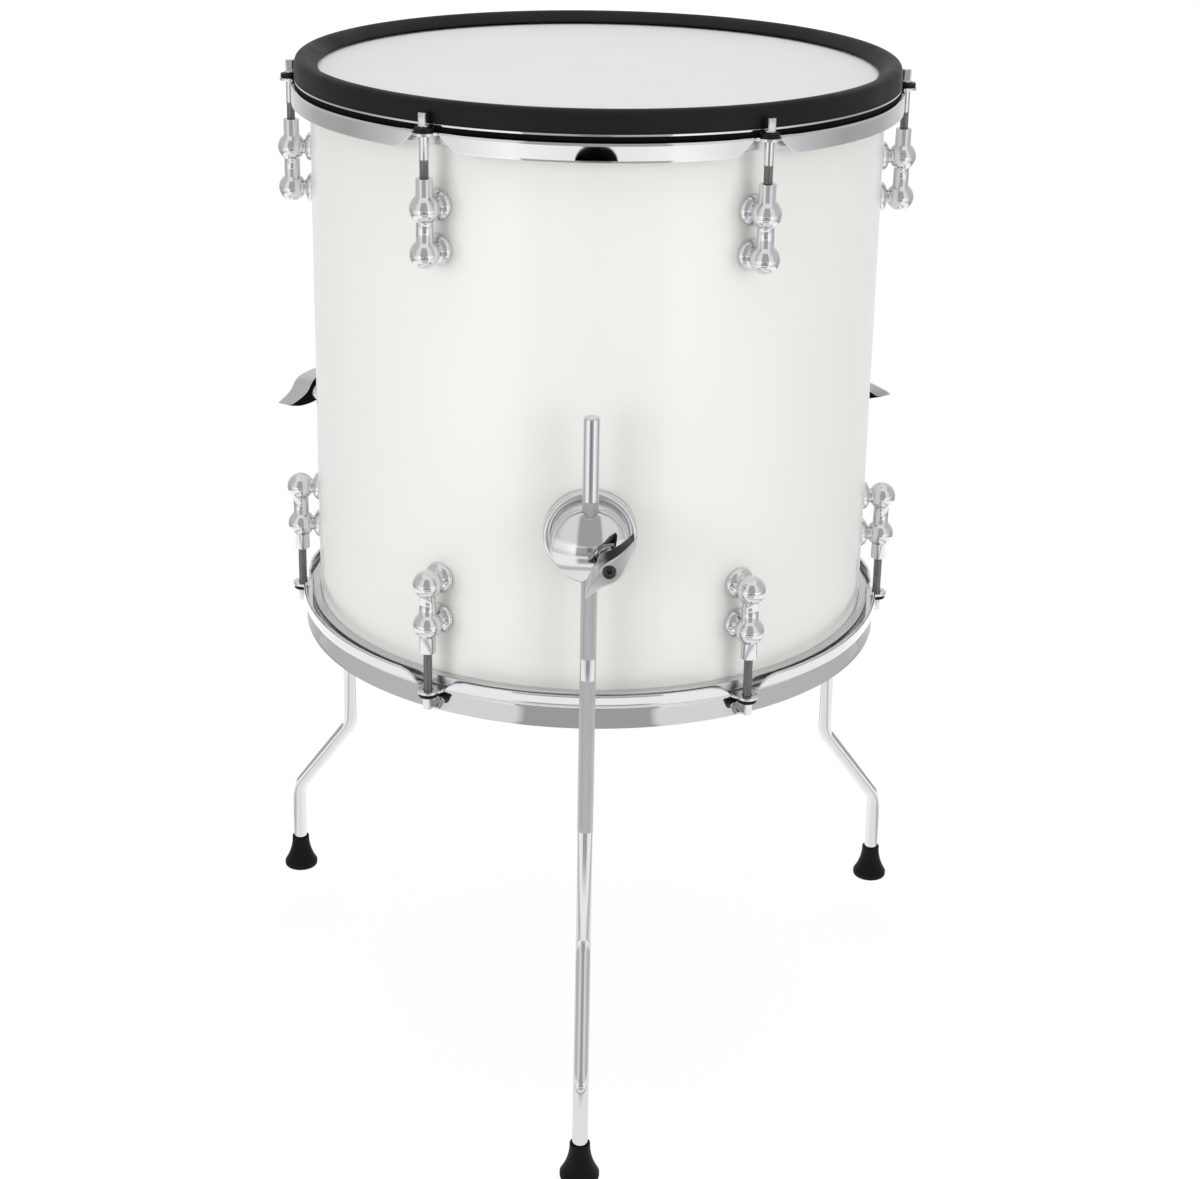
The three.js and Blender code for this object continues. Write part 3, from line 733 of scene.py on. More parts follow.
def around_columns():
    """Angles round the drum as distances from the nearest rod, crowded where the ear's nose is.
    The nose is spaced as a cosine, so that its round outline keeps its shape."""
    nose = ear_radius * np.sin(np.linspace(0, np.pi / 2, 10))
    side = np.linspace(ear_radius, ear_half, 3)[1:]
    slant = np.linspace(ear_half, skirt_full, 14)[1:]
    run = np.linspace(skirt_full, rod_circle * math.radians(30), 16)[1:]
    half = np.concatenate([nose, side, slant, run])
    reach = np.concatenate([-half[:0:-1], half[:-1]])
    turns = np.radians(np.arange(6) * 60)[:, None] + (reach / rod_circle)[None, :]
    return np.tile(reach, 6), (turns + math.radians(lug_degrees[0])).reshape(-1)


def flat_lip():
    """The upper hoop's lip, flat from its rim to the bend into the wall."""
    height = hoop_high.z - half_sheet
    rim = zipped(np.linspace(lip_radius, wall_radius + hoop_corner, 4), height)
    bend = corner_arc((wall_radius + hoop_corner, height - hoop_corner), hoop_corner, 90, 180)
    return np.vstack([rim, bend[1:]])


def flared_lip():
    """The lower hoop's lip, a straight flare that bends softly out of the wall."""
    lean = math.atan2(lip_radius - wall_radius, flare_edge - flare_foot)
    edge = [lip_radius - half_sheet * math.cos(lean), flare_edge - half_sheet * math.sin(lean)]
    corners = [edge, [wall_radius, flare_foot], [wall_radius, ledge_middle + hoop_corner]]
    bend = rounded(corners, [0, flare_bend, 0])[6:12]
    return np.vstack([np.linspace(edge, bend[0], 6), bend[1:]])


def hoop_sheet_points(lip, skirt_hem, skirt_bend):
    """Grid (round the drum, along the strip). The strip's own profile is the same everywhere. Its
    last part starts on the ledge and has length L(t), with t the distance from the nearest rod.
    A skirt turns down on a quarter circle and then hangs. An ear stays level, and its length
    follows the circle sqrt(r^2 - t^2) round the rod and then a straight side."""
    reach, angle = around_columns()
    distance = np.abs(reach)
    ledge_reach = skirt_radius - skirt_bend
    corner = corner_arc((wall_radius + hoop_corner, ledge_middle + hoop_corner), hoop_corner, 180, 270)
    ledge = zipped(np.linspace(wall_radius + 0.0025, ledge_reach, 4), ledge_middle)
    profile = np.vstack([lip, corner, ledge])
    quarter = skirt_bend * np.pi / 2
    hang = ledge_middle - skirt_bend - skirt_hem
    full, shoulder = quarter + hang, quarter + hang / 2 - 0.0012
    places = [ear_half, skirt_shoulder, skirt_late, skirt_full]
    skirt_length = np.interp(distance, places, [ear_root, shoulder, 0.88 * full, full])
    nose = rod_circle + np.sqrt(np.maximum(ear_radius**2 - distance**2, 0)) - ledge_reach
    side = np.interp(distance, [ear_radius, ear_half], [rod_circle - ledge_reach, ear_root])
    ear_length = np.where(distance < ear_radius, nose, side)
    is_ear = (distance < ear_half - 1e-9)[:, None]
    bend_share = max(quarter / full, 0.28)
    share = np.concatenate([np.linspace(0, bend_share, 7), np.linspace(bend_share, 1, 8)[1:]])[None, :]
    length = np.where(is_ear, ear_length[:, None], skirt_length[:, None]) * share
    bend = np.minimum(length, quarter) / skirt_bend
    skirt_r = ledge_reach + skirt_bend * np.sin(bend)
    skirt_z = ledge_middle - skirt_bend * (1 - np.cos(bend)) - np.maximum(length - quarter, 0)
    ear = zipped(ledge_reach + length, ledge_middle)
    tail = np.where(is_ear[..., None], ear, zipped(skirt_r, skirt_z))
    strip = np.broadcast_to(profile, (len(angle), *profile.shape))
    grid = np.concatenate([strip, tail[:, 1:]], axis=1)
    return around(grid[..., 0], angle[:, None], grid[..., 1])


# %% Hoop pieces


def hoop_piece(end, lip, hem, bend):
    skins = [(sheet(hoop_sheet_points(lip, hem, bend), wrap_rows=True), hoop_chrome)]
    made = piece(f"{end}_pressed_hoop", skins, "drum", [f"{end}_hoop"], end=end)
    wall = made.modifiers.new("thickness", "SOLIDIFY")
    wall.thickness = hoop_sheet
    wall.offset = 0
    wall.use_even_offset = True
    soften(made, 0.0003, 55)
    low, high = ledge_middle - 0.003, ledge_middle + 0.003
    hole = moved(bar(rod_hole_radius, low, high, 32), to_rods)
    cut(made, *[spun(hole, degrees) for degrees in lug_degrees], end=end)
    return made


upper_hoop = hoop_piece("top", flat_lip(), top_hem, top_bend)
lower_hoop = hoop_piece("bottom", flared_lip(), bottom_hem, bottom_bend)
print("hoop faces:", len(upper_hoop.data.polygons), len(lower_hoop.data.polygons))

# %% [markdown]
# ## Rubber rim
# The rim is moulded in one ring. It stands on the hoop's lip, rounds over at its crest and slopes in
# over the head, and a short hook holds it over the lip's edge. Its outside is a quarter of a
# superellipse, r = a cos^p t and h = b sin^p t with p under one, which is squarer than a circle.
# The inner slope falls as a power of the way across.

# %% Rubber rim
rim_low, rim_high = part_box("rim_rubber")
rim_radius = radius_of("rim_rubber")
rim_width = 0.0143
rim_power, slope_power = 0.6, 1.5
rim_base = rim_low.z + 0.0045
crest_radius = rim_radius - rim_width / 2 + 0.0013
nose_foot = head_high + 0.0015
nose_height, nose_bend = 0.0013, 0.0006
hook_drop = 0.0006


def rim_profile():
    turn = np.linspace(0, np.pi / 2, 14)
    outer = zipped(
        crest_radius + (rim_radius - crest_radius) * np.cos(turn) ** rim_power,
        rim_base + (rim_high.z - rim_base) * np.sin(turn) ** rim_power,
    )
    inner_radius = rim_radius - rim_width
    across = np.linspace(0, 1, 10)[1:]
    slope = zipped(
        crest_radius + (inner_radius - crest_radius) * across,
        rim_high.z + (nose_foot + nose_height - rim_high.z) * across**slope_power,
    )
    nose = corner_arc((inner_radius + nose_bend, nose_foot + nose_bend), nose_bend, 180, 270)
    back, hook, tip = wall_radius - 0.0006, lip_radius + 0.0001, rim_low.z - hook_drop
    under = [[back, nose_foot], [back, rim_low.z], [hook, rim_low.z], [hook, tip]]
    edge = [[rim_radius - 0.0002, tip], [rim_radius, tip + 0.0002]]
    return np.vstack([outer, slope, nose, under, edge])


def bead_profile():
    """The rubber's inner bead, which snaps in under the lip and fills the hoop's channel. Its rubber
    is made nearly black, darker than the rim's, as painted shade for the gap under the lip.
    """
    inner, outer = wall_radius + half_sheet + 0.0002, skirt_radius - half_sheet - 0.0002
    low, high = ledge_middle + half_sheet + 0.0001, rim_low.z - hoop_sheet - 0.0002
    return ring_section(inner, outer, low, high, [0.0003, 0.0008, 0.0003, 0.0003])


ring, bead = turned(rim_profile(), 288, True), turned(bead_profile(), 288, True)
# The bead is real rubber, and its near-black colour is painted shade.
rings = [(ring, rim_rubber), (bead, bead_painted_shade_rubber)]
rim = piece("rim_ring", rings, "drum", ["rim_rubber"])
print("rim faces:", len(rim.data.polygons), "rim", round(rim_radius, 5), "lip", round(lip_radius, 5))

# %% [markdown]
# ## Tension rods and washers
# A tension rod has a plain shank, a rolled thread below it and a square head for a drum key. The
# thread is real geometry: the radius falls and rises with the height over the pitch, less the angle
# over a full turn, so the ridge climbs in a helix. The lower rods are threaded almost to the ear.

# %% Rods
rod_radius = 0.00275
rod_sides = 24
thread_pitch = 0.00106
thread_depth = 0.00045
thread_starts = {"top": shell_top - 0.0238, "bottom": shell_top - 0.0100}
touch_gap = 0.0001
washer_bore, washer_radius, washer_height = 0.0029, 0.0058, 0.0026
flange_radius, flange_height = 0.0033, 0.0012
square_half, square_height = 0.0025, 0.007
washer_foot = shell_top - ledge_drop + touch_gap
flange_foot = washer_foot + washer_height + touch_gap
square_foot = flange_foot + flange_height
rod_tip = rod_low.z


def thread_skin(thread_start):
    """r(z, a) = R - d x triangle(z / pitch - a / 2 pi), run out to a plain radius at both ends."""
    turns = (thread_start - rod_tip) / thread_pitch
    height = np.linspace(thread_start, rod_tip, int(turns * 5))
    height = np.append(height[:-1], [rod_tip + 1e-5, rod_tip])[None, :]
    angle = np.linspace(0, 2 * np.pi, rod_sides, endpoint=False)[:, None]
    phase = np.mod(height / thread_pitch - angle / (2 * np.pi), 1)
    groove = np.abs(2 * phase - 1)
    fade = np.clip((thread_start - height) / thread_pitch, 0, 1)
    radius = (rod_radius - thread_depth * groove * fade) * (height > rod_tip)
    return sheet(around(radius, angle, height), wrap_rows=True)


def square_skin():
    """The key's square, a superellipse of the eighth power, with a chamfered and crowned end."""
    angle = np.linspace(0, 2 * np.pi, 48, endpoint=False)[:, None]
    section = square_half / (np.abs(np.sin(angle)) ** 8 + np.abs(np.cos(angle)) ** 8) ** (1 / 8)
    scale = np.array([0, 1, 1, 0.985, 0.93, 0.82, 0.45, 0])[None, :]
    level = square_foot + np.array([0, 0, 0.93, 0.965, 0.985, 0.992, 1, 1])[None, :] * square_height
    return sheet(around(np.minimum(section * scale, flange_radius), angle, level), wrap_rows=True)


def rod_skins(thread_start):
    """Square, flange, shank and thread of one rod, drawn at the front of the drum."""
    flange = [
        [0, square_foot],
        [flange_radius - 0.0003, square_foot],
        [flange_radius, square_foot - 0.0003],
        [flange_radius, flange_foot + 0.0002],
        [flange_radius - 0.0002, flange_foot],
        [rod_radius, flange_foot],
        [rod_radius, thread_start],
    ]
    skins = [
        (square_skin(), rod_chrome),
        (turned(flange, rod_sides), rod_chrome),
        (thread_skin(thread_start), thread_steel),
    ]
    return [(moved(skin, to_rods), finish) for skin, finish in skins]


def washer_skin():
    top = washer_foot + washer_height
    section = ring_section(washer_bore, washer_radius, washer_foot, top, 0.0005, 4)
    return moved(turned(section, 40, True), to_rods)


for end, thread_start in thread_starts.items():
    for number, degrees in enumerate(lug_degrees, start=1):
        body, rod = f"{end}_tension_rod_{number}", f"{end}_rod_{number}"
        skins = rod_skins(thread_start)
        piece(f"{end}_key_rod_{number}", skins, body, [rod], degrees, end, 50)
        ring, washer = [(washer_skin(), nylon)], f"{end}_washer_{number}"
        piece(f"{end}_nylon_washer_{number}", ring, "drum", [washer], degrees, end)
print("rods and washers:", 24)

# %% [markdown]
# ## Tube lugs
# Each lug is a tube that takes the rod, with two balls on it, and from each ball a short post runs to
# the shell and ends in a rounded foot. Tube and balls are one turned profile, in which a small
# radius joins each ball to the tube. The posts are turned about the radial line instead.

# %% Lugs
tube_radius = 0.0049
ball_radius = 0.0087
sleeve_top = shell_top - 0.0342
bore_low = sleeve_top - 0.031
outer_ball = sleeve_top - 0.0175
inner_ball = outer_ball - 0.0259
ball_joint = 0.0003
post_radius, post_foot_radius, post_foot_depth = 0.0047, 0.0095, 0.0042


def lug_profile():
    """Bore, sleeve mouth, tube, ball, tube, ball and pole, from the top down."""
    meeting = math.degrees(math.acos((tube_radius + 0.0002) / ball_radius))
    neck = ball_radius * math.sin(math.radians(meeting)) + ball_joint
    mouth = [
        [0, bore_low],
        [rod_radius + 0.0001, bore_low],
        [rod_radius + 0.0001, sleeve_top - 0.0006],
        [rod_radius + 0.0006, sleeve_top],
        [tube_radius - 0.0004, sleeve_top],
        [tube_radius - 0.0001, sleeve_top - 0.0001],
        [tube_radius, sleeve_top - 0.0004],
    ]
    return np.vstack(
        [
            mouth,
            [[tube_radius, outer_ball + neck]],
            corner_arc((0, outer_ball), ball_radius, meeting, -meeting, 14),
            [[tube_radius, outer_ball - neck], [tube_radius, inner_ball + neck]],
            corner_arc((0, inner_ball), ball_radius, meeting, -90, 18),
        ]
    )


def post_skin(height):
    """A post turned about the radial line: its neck swells into a domed foot on the shell."""
    base, end = shell_radius + seat_gap, rod_circle - 0.006
    dome = np.radians(np.linspace(0, 78, 10))
    swell = zipped(
        post_radius + (post_foot_radius - post_radius) * np.cos(dome),
        base + post_foot_depth * np.sin(dome),
    )
    foot = [[0, base], [post_foot_radius - 0.0003, base], [post_foot_radius, base + 0.0003]]
    neck = [[post_radius, base + post_foot_depth + 0.0006], [post_radius, end], [0, end]]
    return laid(turned(np.vstack([foot, swell[1:], neck]), 40), height)


tube = moved(turned(lug_profile(), 48), to_rods)
skins = [(skin, lug_chrome) for skin in (tube, post_skin(outer_ball), post_skin(inner_ball))]
for end in ("top", "bottom"):
    for number, degrees in enumerate(lug_degrees, start=1):
        lug = f"{end}_lug_{number}"
        piece(f"{end}_tube_lug_{number}", skins, "drum", [lug], degrees, end)
print("lugs:", 12)

# %% [markdown]
# ## Legs and feet
# A leg is a steel rod with two bends, so the foot stands further out than the bracket. The path lies
# in one radial plane: straight, arc, straight, arc, straight. A circle is carried along it, and the
# lengths along and round the rod become its UV map, on which the knurl is drawn.

# %% Legs
leg_radius = 0.00475
leg_circle = shell_radius + 0.0217
foot_circle = leg_circle + 0.0485
leg_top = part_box("front_leg")[1].z
leg_edge = 0.0012
upper_knee, lower_knee = 0.130, 0.066
knee_radius = 0.018
leg_slant = math.atan2(foot_circle - leg_circle, upper_knee - lower_knee)
knurl_heights = [0.417, 0.320, 0.3065, 0.208]
foot_floor = 0.0073


def knees():
    """Both bends as (distance, height, lean) rows: distance = R + k (1 - cos w), height falls by
    k sin w, and back again."""
    tangent = knee_radius * math.tan(leg_slant / 2)
    lean = np.linspace(0, leg_slant, 12)
    out, fall = knee_radius * (1 - np.cos(lean)), knee_radius * np.sin(lean)
    upper = zipped(leg_circle + out, upper_knee + tangent - fall, lean)
    lower = zipped(foot_circle - out, lower_knee - tangent + fall, lean)[::-1]
    return np.vstack([upper, lower, [[foot_circle, foot_floor, 0.0]]])


def swept(path, radius):
    """A circle of given radius carried along the path: P + r (x cos a + n sin a), where n stands
    square to the path in its plane."""
    distance, height, lean = np.asarray(path).T[:, :, None]
    angle = np.linspace(0, 2 * np.pi, 33)[:-1][None, :]
    radius = np.broadcast_to(np.asarray(radius, float), len(path))[:, None]
    across, square = radius * np.cos(angle), radius * np.sin(angle)
    points = zipped(across, -(distance + square * np.cos(lean)), height + square * np.sin(lean))
    steps = np.hypot(np.diff(distance[:, 0]), np.diff(height[:, 0]))
    along = np.concatenate([[0], np.cumsum(steps)])
    return sheet(points, False, True, along, np.linspace(0, 2 * np.pi * leg_radius, 33))


def leg_skins():
    """Rounded tip, plain, knurled, plain, knurled and plain stretches, knees and the lower end."""
    tip = np.radians([90, *np.linspace(90, 0, 7)])
    tip_radius = leg_radius - leg_edge + leg_edge * np.cos(tip)
    tip_radius[0] = 0
    tip_path = zipped(leg_circle, leg_top - leg_edge + leg_edge * np.sin(tip), 0.0)
    skins = [(swept(tip_path, tip_radius), leg_chrome)]
    heights = [leg_top - leg_edge, *knurl_heights, knees()[0, 1]]
    stretches = zip(heights, heights[1:], (4, 30, 3, 30, 6), (leg_chrome, knurled) * 3)
    for top, low, steps, finish in stretches:
        path = zipped(leg_circle, np.linspace(top, low, steps), 0.0)
        skins.append((swept(path, leg_radius), finish))
    end = [[foot_circle, foot_floor, 0.0]] * 2
    return [*skins, (swept(knees(), leg_radius), leg_chrome), (swept(end, [leg_radius, 0]), leg_chrome)]


# %% [markdown]
# The foot is a rubber boot: a flat tread with a rounded edge, a waist that sweeps up, and a thin
# collar round the rod.

# %% Feet
foot_radius = 0.012
foot_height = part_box("front_foot")[1].z
collar = leg_radius + 0.00145
tread_edge, collar_edge = 0.0012, 0.0005
waist_foot, waist_power = 0.0034, 2.1
boot_floor = 0.007


def foot_profile():
    """Sole, rounded tread, then a waist that narrows as a power of the way up, and the collar."""
    up = np.linspace(0, 1, 16)
    waist = zipped(
        collar + (foot_radius - collar) * (1 - up) ** waist_power,
        waist_foot + (foot_height - 0.0008 - waist_foot) * up,
    )
    tread = corner_arc((foot_radius - tread_edge, tread_edge), tread_edge, -90, 0, 6)
    top = corner_arc((collar - collar_edge, foot_height - collar_edge), collar_edge, 0, 90, 4)
    socket = leg_radius + seat_gap
    bore = [[socket, foot_height], [socket, boot_floor], [0, boot_floor]]
    return np.vstack([[[0, 0]], tread, waist, top, bore])


boot = moved(turned(foot_profile(), 64), [0, -foot_circle, 0])
for name, degrees in leg_stations.items():
    body = f"{name}_leg_rod"
    piece(f"{name}_bent_rod", leg_skins(), body, [f"{name}_leg"], degrees)
    piece(f"{name}_rubber_boot", [(boot, foot_rubber)], body, [f"{name}_foot"], degrees)
print("leg slant:", round(math.degrees(leg_slant), 1), "degrees")

# %% [markdown]
# ## Leg brackets
# A bracket is a die casting: a round plate with a thick rounded rim, saddled to the shell, and a
# clamp block that rises inside it. It is turned about the radial line, so each piece is drawn as
# (distance from that line, distance from the drum's axis). The plate's foot follows the shell's
# curve. The leg's groove is then cut through the block with a boolean, because the cut edge is
# where a round bar meets a round block, which no simple grid follows.

# %% Sizes of the brackets
bracket_height = (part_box("front_bracket")[0].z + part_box("front_bracket")[1].z) / 2
plate_radius = 0.0273
plate_rim = 0.0046
rim_depth = shell_radius + 0.0064
root_depth = shell_radius + 0.0046
block_radius = 0.0224
block_top = leg_circle - 0.0005
cap_back = leg_circle + 0.0005
cap_face = cap_back + 0.0104
cap_radius = block_radius - 0.0009
cap_edge, cap_fall = 0.0005, 0.0080
bolt_right, bolt_down = 0.0112, 0.0035
bolt_radius, bolt_hole_radius = 0.003, 0.0035
seat_depth = cap_back + 0.0066
seat_radius = 0.0087
print("bracket height", round(bracket_height, 4), "block top", round(block_top, 4))

# %% Turned castings


def plate_profile():
    """From the shell out: flat back, rounded rim, inner slope, root, block and its edge."""
    inner_radius = plate_radius - plate_rim
    rim = rounded(
        [
            [plate_radius, rim_depth - 0.02],
            [plate_radius, rim_depth],
            [inner_radius, rim_depth],
            [inner_radius, root_depth - 0.02],
        ],
        [0, 0.0021, 0.0023, 0],
        7,
    )[8:24]
    back = shell_radius - 0.002
    wall = [[0, back], [plate_radius - 0.0004, back], [plate_radius, back + 0.0006]]
    foot = [block_radius - 0.0002, root_depth]
    side = [[block_radius + 0.0010, block_top - 0.0030], [block_radius - 0.0006, block_top]]
    block = rounded([foot, *side, [0, block_top]], [0, 0.0010, 0.0009, 0], 4)[5:15]
    return np.vstack([wall, rim, [[inner_radius, root_depth], foot], block, [[0, block_top]]])


def bracket_skin(saddled=3):
    """The profile's first points take the depth of the shell's curve there, sqrt(R^2 - x^2)."""
    profile = plate_profile()
    points, faces, marks = laid(turned(profile, 96), bracket_height)
    follows = np.tile(np.arange(len(profile)) < saddled, 96)
    curve = np.sqrt((shell_radius + seat_gap) ** 2 - points[:, 0] ** 2)
    depth = np.where(follows, curve, -points[:, 1])
    return zipped(points[:, 0], -depth, points[:, 2]), faces, marks


def cap_skin():
    """A short wall, then a dome whose depth falls with the square of the radius."""
    share = np.linspace(1, 0, 18)
    edge = corner_arc((cap_radius - cap_edge, cap_back + cap_edge), cap_edge, -90, 0, 4)
    dome = zipped(cap_radius * share, cap_face - cap_fall * share**2)
    return laid(turned(np.vstack([[[0, cap_back]], edge, dome]), 96), bracket_height)


# %% Cutting and fitting the clamps


def bolt_bar(radius, low, high, sides=32):
    """A round bar on the clamp bolt's line, between two distances from the drum's axis."""
    return moved(laid(bar(radius, low, high, sides), bracket_height), [bolt_right, 0, -bolt_down])


groove_reach = plate_radius + 0.004
groove_bar = bar(leg_radius + 0.0002, -groove_reach, groove_reach, 64)
groove = moved(groove_bar, [0, -leg_circle, bracket_height])
seat = bolt_bar(seat_radius, seat_depth, cap_face + 0.004, 64)
bolt_hole = bolt_bar(bolt_hole_radius, cap_back - 0.002, seat_depth + 0.002)
bolt = bolt_bar(bolt_radius, root_depth, cap_face + 0.0100)
for name, degrees in leg_stations.items():
    plate = [(bracket_skin(), ring_chrome)]
    bracket = piece(f"{name}_cast_bracket", plate, "drum", [f"{name}_bracket"], degrees)
    cut(bracket, groove, degrees=degrees)
    soften(bracket, 0.0003, 50)
    piece(f"{name}_clamp_bolt", [(bolt, thread_steel)], "drum", (), degrees)
    dome = [(cap_skin(), cap_chrome)]
    cap = piece(f"{name}_domed_cap", dome, f"{name}_cap", [f"{name}_clamp_cap"], degrees)
    for tool in (groove, seat, bolt_hole):
        cut(cap, tool, degrees=degrees)
    soften(cap, 0.0004, 35)
print("clamps:", len(leg_stations))

# %% [markdown]
# ## Levers
# The lever that tightens each clamp is a die-cast leaf, pointed at its tip and hooked at its heel.
# Its outline is two curves, one along each side. At every step along them the section is a rounded
# block: a superellipse, so that the outer face is flat and its edges are soft. The outer face
# climbs towards the tip and falls towards the heel.

# %% Lever leaf
lever_reach, lever_heel, hub_radius = 0.0193, 0.0214, 0.0064
leaf_back = cap_face + 0.0016
leaf_depth = 0.0175
leaf_face = leaf_back + leaf_depth
leaf_steps = 64
back_flare, face_flare, heel_fall = 0.011, 0.006, 0.006
back_width_share = 1.3
section_power = 0.18
hub_foot_radius, hub_edge = 0.0070, 0.0004
lever_rest = {"front": 223, "right": 180, "left": 328}
outer_side_shares = [[1.0, 0.20], [0.725, 0.42], [0.435, 0.66], [0.125, 1.10]]
outer_heel_shares = [[-0.14, 1.10], [-0.425, 0.75], [-0.73, 0.34], [-0.94, 0.02], [-1.0, -0.38]]
inner_side_shares = [[1.0, 0.14], [0.78, -0.27], [0.36, -0.60], [0.015, -0.70]]
inner_heel_shares = [[-0.16, -0.65], [-0.40, -0.50], [-0.65, -0.42], [-0.90, -0.41], [-1.0, -0.42]]


def smooth_curve(knots, count):
    """A Catmull-Rom curve through the knots: on each span the point is the cubic blend of four
    knots, (2b + (c - a)u + (2a - 5b + 4c - d)u^2 + (3b - a - 3c + d)u^3) / 2."""
    knots = np.vstack([2 * knots[0] - knots[1], knots, 2 * knots[-1] - knots[-2]])
    place = np.linspace(0, len(knots) - 3 - 1e-9, count)
    span, u = place.astype(int), (place % 1)[:, None]
    a, b, c, d = knots[span], knots[span + 1], knots[span + 2], knots[span + 3]
    return (2 * b + (c - a) * u + (2 * a - 5 * b + 4 * c - d) * u**2 + (3 * b - a - 3 * c + d) * u**3) / 2


def leaf_side(tip_shares, heel_shares):
    """One side of the outline, from shares of the leaf's reach, heel and hub."""
    tip = np.multiply(tip_shares, [lever_reach, hub_radius])
    heel = np.multiply(heel_shares, [lever_heel, hub_radius])
    return smooth_curve(np.vstack([tip, heel]), leaf_steps)


def leaf_skins():
    """Grid (along the leaf, round its section). The section is (cos a, sin a) raised to a small
    power, scaled to half the leaf's width and half its depth, and shrunk at both ends. Both faces
    climb with the square of the way to the tip, and the outer one falls so towards the heel."""
    outer = leaf_side(outer_side_shares, outer_heel_shares)
    inner = leaf_side(inner_side_shares, inner_heel_shares)
    middle, half = (outer + inner) / 2, (outer - inner) / 2
    angle = np.linspace(0, 2 * np.pi, 65)[:-1]
    ways = np.cos(angle), np.sin(angle)
    across, deep = (np.sign(way) * np.abs(way) ** section_power for way in ways)
    plan = middle[:, None, :] + half[:, None, :] * across[None, :, None]
    x = plan[..., 0]
    y = plan[..., 1] * (1 + (back_width_share - 1) * (1 - deep) / 2)
    climb = np.maximum(x / lever_reach, 0) ** 2
    fall = np.minimum(x / lever_heel, 0) ** 2
    back = leaf_back + back_flare * climb
    face = leaf_face + face_flare * climb - heel_fall * fall
    steps = np.arange(leaf_steps)
    end = np.minimum(1, np.minimum(steps, leaf_steps - 1 - steps) / 2.0)[:, None]
    reach = (0.80 + 0.20 * np.sqrt(1 - (1 - end) ** 2)) * deep[None, :]
    points = zipped(x, y, (back + face) / 2 + reach * (face - back) / 2)
    ends = [np.broadcast_to(points[i].mean(axis=0), points[i].shape)[None] for i in (0, -1)]
    points, faces, marks = sheet(np.concatenate([ends[0], points, ends[1]]), False, True)
    rounds = len(faces) // len(deep)
    near_face = np.tile((deep > 0.9) & (np.roll(deep, -1) > 0.9), rounds)
    near_edge = np.tile(deep > 0.78, rounds) & ~near_face
    back_face = np.tile(deep < -0.85, rounds)
    side = ~near_face & ~near_edge & ~back_face
    inner_side = np.tile(across < 0, rounds) & side
    # The inner side and the back face carry painted shade: the inner side dark by the heel and lighter
    # towards the tip, the back face near black.
    zones = (
        (near_face, satin_chrome),
        (near_edge, cast_chrome),
        (side & ~inner_side, satin_chrome),
        (inner_side, cast_flank),
        (back_face, cast_back),
    )
    return [((points, faces[zone], marks[zone]), finish) for zone, finish in zones]


def hub_skin():
    """The round foot on which the lever turns, from its seat in the cap up into the leaf."""
    foot, top = seat_depth + 0.0001, leaf_back + 0.002
    edge = [[hub_foot_radius - hub_edge, foot], [hub_foot_radius, foot + hub_edge]]
    return turned([[0, foot], *edge, [hub_foot_radius, top], [0, top]], 48)


def at_rest(skin, degrees):
    """Turns a lever piece in its own plane, then stands it face on at the bolt: plan x runs to
    the right, plan y up, and the third number is the distance from the drum's axis."""
    points, faces, marks = spun(skin, degrees)
    up = points[:, 1] + bracket_height - bolt_down
    return zipped(points[:, 0] + bolt_right, -points[:, 2], up), faces, marks


# %% [markdown]
# A cross-headed screw holds the lever to its bolt. It is a low dome, and its recess is two tapered
# slots cut by boolean, because at this size the cross is what the eye reads first.

# %% Screws
screw_radius = 0.0037
screw_sink, screw_crown = 0.0004, 0.0008
well_radius, well_depth = 0.0041, 0.0022
slot_top, slot_foot = (0.0024, 0.00060), (0.0009, 0.00040)
slot_depth, slot_over = 0.0015, 0.0010
slot_degrees = (20, 110)
well = bar(well_radius, leaf_face - well_depth, leaf_face + 0.003, 48)


def screw_skin():
    """A dome h = c (1 - (r / R)^2) on a short wall, standing in the well of the leaf's face."""
    share = np.linspace(1, 0, 10)
    dome = zipped(screw_radius * share, leaf_face - screw_sink - screw_crown * share**2)
    foot = leaf_face - well_depth - 0.0004
    return turned(np.vstack([[[0, foot], [screw_radius, foot]], dome]), 40)


def slot_bar(degrees):
    """One tapered slot of the cross: wide at the screw's face and narrow at its bottom."""
    face = leaf_face - screw_sink
    signs = np.array([[-1, -1], [1, -1], [1, 1], [-1, 1]])
    rings = [0 * signs, signs * slot_foot, signs * slot_top, 0 * signs]
    levels = [face - slot_depth, face - slot_depth, face + slot_over, face + slot_over]
    grid = np.stack([zipped(*ring.T, level) for ring, level in zip(rings, levels)])
    return spun(sheet(grid, False, True), degrees)


for name, degrees in leg_stations.items():
    rest = lever_rest[name]
    body = f"{name}_lever"
    skins = [(at_rest(skin, rest), finish) for skin, finish in [*leaf_skins(), (hub_skin(), cast_chrome)]]
    leaf = piece(f"{name}_lever_leaf", skins, body, [f"{name}_clamp_lever"], degrees)
    cut(leaf, at_rest(well, rest), degrees=degrees)
    dome = [(at_rest(screw_skin(), rest), dark_steel)]
    screw = piece(f"{name}_lever_screw", dome, body, (), degrees)
    for turn in slot_degrees:
        cut(screw, at_rest(slot_bar(turn), rest), degrees=degrees)
print("levers:", len(lever_rest))

# %% [markdown]
# ## Trigger and socket
# A steel strip crosses the shell under the head and carries a foam cone that feels each stroke. Both
# are closed in by the heads, so the frame's own solids stay, with finishes of their own. The socket
# at the back is seen, so it gets a finer nut, a rounded barrel and a real bore.

# %% Inside pieces
for name, finish in (("trigger_bar", zinc), ("trigger_sensor", foam)):
    solid = nodes[name]
    solid.data.materials.clear()
    solid.data.materials.append(finish)

barrel_radius, barrel_bore, barrel_edge = 0.0058, 0.0034, 0.0003
jack_radius, jack_depth, bore_depth = 0.0090, 0.022, 0.0196
nut_radius, nut_bore, nut_depth = 0.0080, 0.0059, 0.0026


